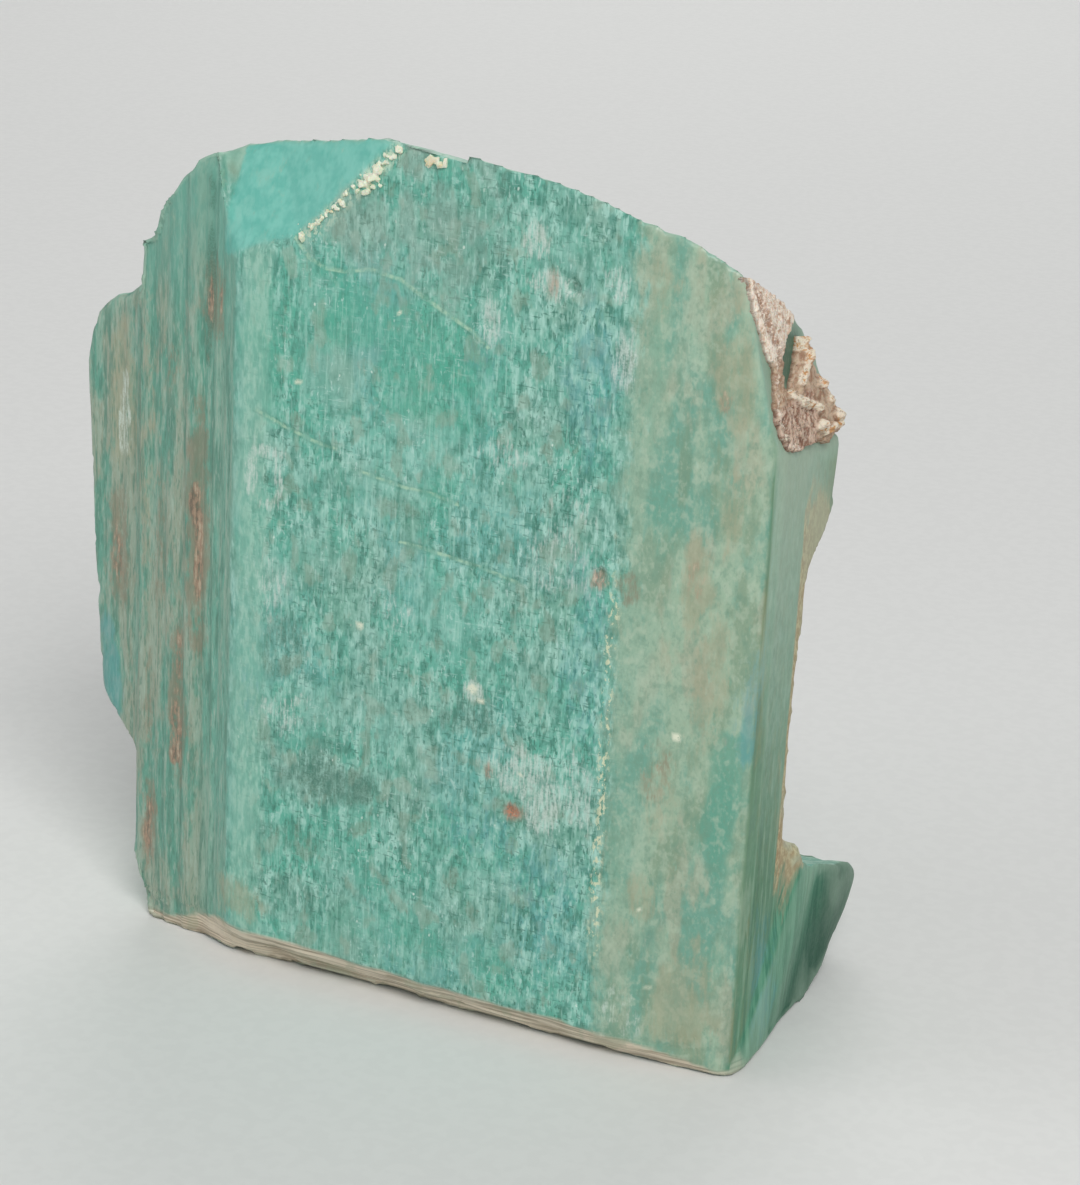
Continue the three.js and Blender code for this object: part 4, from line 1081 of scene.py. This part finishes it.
strands = np.maximum(ramp(np.abs(noise(a / 0.5 + 0.3 * b, b / 2.6, 0, 620)), 0.16, 0.03),
                     ramp(np.abs(noise(a / 0.45 - 0.35 * b, b / 2.2, 0, 625)), 0.14, 0.02))
blocks = plates(a, b, 1.5, 0.8, 630)
lumps = np.zeros(len(a))
for la, lb, half_a, half_b, high in LUMPS:
    beside_a, beside_b = (a - la) / half_a, (b - lb) / half_b
    gap = np.maximum(np.hypot(beside_a, beside_b), 0.9 * np.abs(beside_a + beside_b))
    gap = gap + 0.35 * noise(a * 1.1, b * 1.6, 0, 640)
    lumps = np.maximum(lumps, high * np.sqrt(np.clip(1.15 - gap, 0, 1)))
for line in RIDGES:
    gap, _ = line_distance(a * 0.6, b, [(u * 0.6, v) for u, v in line])
    rise = np.clip(1.1 - np.abs(gap) / 0.34 + 0.4 * noise(a, b * 1.6, 0, 645), 0, 1)
    lumps = np.maximum(lumps, 0.6 * np.sqrt(rise))
lumps = lumps * (0.55 + 0.8 * plates(a + 0.4 * b, b - 0.2 * a, 0.9, 0.6, 648))
high = 0.05 + 0.3 * ramp(edge_gap, 0.2, 1.6) + 0.15 * blocks + 0.35 * ramp(a, 5, 9) + 0.10 * rim + lumps
high += fibrous * (0.24 * strands - 0.18) + 0.12 * rough(a / 0.7, b / 0.5, 0, 4, 650)
high -= 0.22 * ramp(np.abs(stain_gap), 0.4, 0.1) * (1 - rim)
high = -0.75 + (high + 0.75) * ramp(edge_gap, -0.08, 0.12)

# one sheet above, its flat copy below, and a wall round the border
bm = bmesh.new()
wide, tall = len(columns), len(rows_up)
keep = (edge_gap > -0.1).reshape(wide, tall)
top_at = (SHOULDER + np.outer(a, ACROSS) + np.outer(b, UP) + np.outer(high, OUT)) * MM
base_at = (SHOULDER + np.outer(a, ACROSS) + np.outer(b, UP) - CRUST_BASE * OUT) * MM
made = {}


def corner(i, j, top):
    if (i, j, top) not in made:
        made[i, j, top] = bm.verts.new((top_at if top else base_at)[i * tall + j])
    return made[i, j, top]


whole = keep[:-1, :-1] & keep[1:, :-1] & keep[:-1, 1:] & keep[1:, 1:]
cells = set(zip(*np.nonzero(whole)))
for i, j in cells:
    ring = [(i, j), (i + 1, j), (i + 1, j + 1), (i, j + 1)]
    bm.faces.new([corner(*c, True) for c in ring])
    bm.faces.new([corner(*c, False) for c in reversed(ring)])
    for k, beside in enumerate(((i, j - 1), (i + 1, j), (i, j + 1), (i - 1, j))):
        if beside not in cells:
            c, d = ring[k], ring[(k + 1) % 4]
            bm.faces.new((corner(*d, True), corner(*c, True), corner(*c, False), corner(*d, False)))
order = [i * tall + j for i, j, top in made]
crust = mesh_object("albite_crust_stained", bm)
for name, values in (("lump", np.clip(lumps * 2, 0, 1)), ("fibre", fibrous), ("strand", strands),
                     ("lobe", lobe), ("rim", rim), ("height", high),
                     ("stain_line", ramp(np.abs(stain_gap), 0.7, 0.2))):
    store(crust.data, name, values[order])
print("crust points:", len(order))

# %% [markdown]
# # Stained albite
# The crust runs from cream on its rims and lumps to a pinkish grey on the lobe and a red brown between
# the fibres, where iron has settled. The stain is strongest in the low places, so the same numbers
# that carved the relief are kept as layers and steer the colour.

# %% Stained albite
rusty = Finish("albite_stained")
lump, fibre_area, strand, lobe_area, rim_area, stain_area, level = (
    rusty.layer(k) for k in ("lump", "fibre", "strand", "lobe", "rim", "stain_line", "height"))
mix = rusty.noise((1.3, 0.9, 1.3), 5, 0.7, 4.0, 0.5)
fine = rusty.noise((4.5, 3.0, 4.5), 4, 0.7, 8.0)
hairs = rusty.noise((6.0, 4.0, 1.3), 3, 0.7, 12.0, 0.3)
tint = rusty.paint(srgb(206, 182, 156), srgb(162, 126, 100), rusty.between(mix, 0.42, 0.6))
lobe_tint = rusty.paint(srgb(254, 244, 228), srgb(224, 194, 168), rusty.between(hairs, 0.45, 0.6))
tint = rusty.paint(tint, lobe_tint, lobe_area, 0.9)
tint = rusty.coats(
    tint,
    ((176, 126, 90), lobe_area, rusty.between(mix, 0.56, 0.64), 0.75),
    ((144, 104, 84), fibre_area, 0.85),
    ((230, 206, 184), fibre_area, rusty.between(strand, 0.2, 0.8), 0.7),
    ((226, 202, 182), fibre_area, rusty.between(hairs, 0.54, 0.64), 0.75),
    ((102, 66, 50), fibre_area, rusty.between(hairs, 0.44, 0.36), 0.7),
    ((132, 84, 60), stain_area, rusty.between(fine, 0.4, 0.55), 0.65))
lump_tint = rusty.paint(srgb(242, 230, 208), srgb(208, 152, 96), rusty.between(mix, 0.49, 0.6))
lump_tint = rusty.paint(lump_tint, srgb(176, 140, 112), rusty.between(fine, 0.46, 0.36), 0.6)
tint = rusty.paint(tint, lump_tint, rusty.between(lump, 0.3, 0.7), 0.95)
tint = rusty.coats(
    tint,
    ((254, 240, 222), rim_area, rusty.between(fine, 0.4, 0.55), 0.95),
    ((92, 70, 52), rusty.between(level, 0.05, -0.25), 0.6),
    ((92, 64, 46), rusty.between(fine, 0.38, 0.3), 0.6))
bumps = rusty.plus(rusty.both(fine, 0.10), rusty.both(rusty.noise((9, 9, 9), 3, 0.6, 9.0), 0.04))
rusty.set(Base_Color=tint, Roughness=rusty.between(fine, 0.35, 0.65, 0.45, 0.75), Normal=rusty.relief(bumps),
          IOR=FELDSPAR_IOR, Subsurface_Weight=0.08, Subsurface_Scale=0.0006)
dress(crust, rusty, "albite_crust")

# %% [markdown]
# # White albite grains
# Small blocky grains of albite sit in a broken line along the edge where the left facet meets the flat
# face, and one double grain sits near the top. Each is a hull round random points, flattened a little,
# and all of a group go through one fine voxel skin that welds them where they touch.

# %% White albite grains
SEAM_GRAINS = [(-8.76, 67.15, 0.28, 0.55), (-9.35, 68.05, 0.22, 0.2), (-7.85, 68.1, 0.13, 0.45),
               (-5.55, 70.0, 0.3, 0.26), (-5.0, 70.45, 0.3, 0.34), (-4.75, 71.45, 0.22, 0.2),
               (-4.2, 71.9, 0.2, 0.25), (-3.0, 71.7, 0.5, 0.5), (-2.45, 72.2, 0.3, 0.25),
               (-2.5, 73.0, 0.62, 0.6), (-3.35, 72.3, 0.42, 0.36), (-2.85, 72.35, 0.4, 0.4),
               (-3.0, 72.95, 0.3, 0.36),
               (-2.05, 72.85, 0.36, 0.3), (-3.7, 71.6, 0.26, 0.3), (-2.2, 73.65, 0.3, 0.3),
               (-6.1, 69.6, 0.2, 0.18), (-6.6, 69.2, 0.16, 0.16), (-7.3, 68.5, 0.18, 0.2),
               (-1.95, 73.6, 0.42, 0.4), (-1.75, 72.4, 0.22, 0.2), (-1.35, 74.3, 0.4, 0.22),
               (-0.85, 74.8, 0.28, 0.2), (-0.6, 75.0, 0.3, 0.3), (-0.1, 75.55, 0.42, 0.38)]
dice = np.random.default_rng(77)
for t in dice.uniform(0.03, 0.98, 52):                  # crumbs between the grains, in two thick places
    thick = 0.25 + 0.75 * max(ramp(abs(t - 0.66), 0.16, 0.02), ramp(abs(t - 0.05), 0.1, 0.02))
    aside, size = dice.normal(0, 0.32 * thick), dice.uniform(0.09, 0.2)
    cx, cz = np.array(SEAM_LOW) + seam_run * t + seam_side * (aside - 0.15)
    SEAM_GRAINS.append((cx, cz, size, size * dice.uniform(0.7, 1.3)))
KNOT_GRAINS = [(2.75, 75.0, 0.55, 0.55), (3.2, 75.25, 0.4, 0.4), (3.55, 74.8, 0.45, 0.3),
               (4.05, 75.05, 0.24, 0.45), (2.5, 74.7, 0.3, 0.3)]        # x, z and half sizes, mm
GRAIN_VOXEL = 0.07
GRAIN_SUNK = 0.12                          # how deep the middle of a grain lies under the face


def grains(name, rows, seed, voxel):
    """Hulls round random points at each place on the front, in one skin."""
    dice = np.random.default_rng(seed)
    bm = bmesh.new()
    for gx, gz, half_wide, half_high in rows:
        past = (np.array((gx, gz)) - SEAM_LOW) @ -seam_side            # above 0 on the facet side
        depth = max(0.0, past) * math.tan(FACET_TILT)
        spots = dice.normal(size=(14, 3))
        spots /= np.linalg.norm(spots, axis=1)[:, None] ** 0.8
        deep = 0.75 * max(half_wide, half_high)
        made = [bm.verts.new(Vector((gx + half_wide * s[0], FACE_Y + depth + GRAIN_SUNK + deep * s[1],
                                     gz + half_high * s[2])) * MM) for s in spots]
        bmesh.ops.convex_hull(bm, input=made)
    loose = [v for v in bm.verts if not v.link_faces]
    bmesh.ops.delete(bm, geom=loose, context="VERTS")
    obj = mesh_object(name, bm)
    even_skin(obj, voxel)
    at, out = points_of(obj.data), normals_of(obj.data)
    px, py, pz = at.T
    at += out * (0.05 * rough(px * 2.2, py * 2.2, pz * 2.2, 3, seed))[:, None]
    move_points(obj.data, at)
    return obj


seam = grains("albite_seam_grains", SEAM_GRAINS, 21, GRAIN_VOXEL)
knot = grains("albite_knot_grains", KNOT_GRAINS, 34, GRAIN_VOXEL)
white = Finish("albite_white")
cloud = white.noise((1.1, 1.1, 1.1), 4, 0.65, 2.0)
ochre = white.noise((0.45, 0.45, 0.45), 3, 0.6, 14.0)
grainy = white.noise((6, 6, 6), 3, 0.65, 6.0)
body = white.paint(srgb(238, 238, 216), srgb(214, 220, 192), white.between(cloud, 0.45, 0.65))
body = white.paint(body, srgb(222, 202, 158), white.between(ochre, 0.56, 0.66), 0.6)
white.set(Base_Color=body, Roughness=white.between(grainy, 0.35, 0.65, 0.4, 0.65), IOR=FELDSPAR_IOR,
          Normal=white.relief(white.both(grainy, 0.05)), Subsurface_Weight=0.2, Subsurface_Scale=0.0008)
dress(seam, white, "albite_seam")
dress(knot, white, "albite_knot")

# %% [markdown]
# # Floor, light and air
# The stone stands on a pale paper floor that runs far back. One soft light stands to the front
# right and above, a weaker one fills from the left, and a third lifts the rim from behind. The sky adds
# a little even light, so that no side of the stone falls into black.

# %% Floor, light and air
floor_skin = bmesh.new()
RING = 48
rings = [[floor_skin.verts.new((r * math.cos(t), r * math.sin(t), 0)) for t in
          [2 * math.pi * k / RING for k in range(RING)]] for r in (0.3, 1.2, 4.0)]
floor_skin.faces.new(rings[0])
for inside_ring, outside_ring in zip(rings, rings[1:]):
    for k in range(RING):
        m = (k + 1) % RING
        floor_skin.faces.new((inside_ring[k], outside_ring[k], outside_ring[m], inside_ring[m]))
floor = mesh_object("floor", floor_skin)
paper = Finish("paper")
fibres = paper.noise((0.8, 0.8, 0.8), 1, 0.6, 1.0)
paper.set(Base_Color=paper.paint(srgb(226, 226, 223), srgb(224, 224, 221), paper.between(fibres, 0.4, 0.6)),
          Roughness=0.9)
floor.data.materials.append(paper.material)

AIM = Vector((0, 0, 0.035))
LIGHTS = [("key", (0.35, -0.45, 0.55), 0.35, 3.6), ("fill", (-0.6, -0.35, 0.3), 0.5, 1.2),
          ("back", (-0.2, 0.6, 0.5), 0.5, 2.0)]              # name, place in m, size in m, power in W
for name, at, size, power in LIGHTS:
    lamp = bpy.data.lights.new(name, "AREA")
    lamp.size, lamp.energy = size, power
    holder = bpy.data.objects.new(name, lamp)
    holder.location = at
    holder.rotation_euler = (AIM - Vector(at)).to_track_quat("-Z", "Y").to_euler()
    bpy.context.scene.collection.objects.link(holder)
sky = bpy.data.worlds.new("soft_air")
sky.use_nodes = True
air = sky.node_tree.nodes["Background"].inputs
air["Color"].default_value, air["Strength"].default_value = (0.9, 0.92, 0.95, 1), 0.3
bpy.context.scene.world = sky
bpy.context.scene.view_settings.view_transform = "Standard"
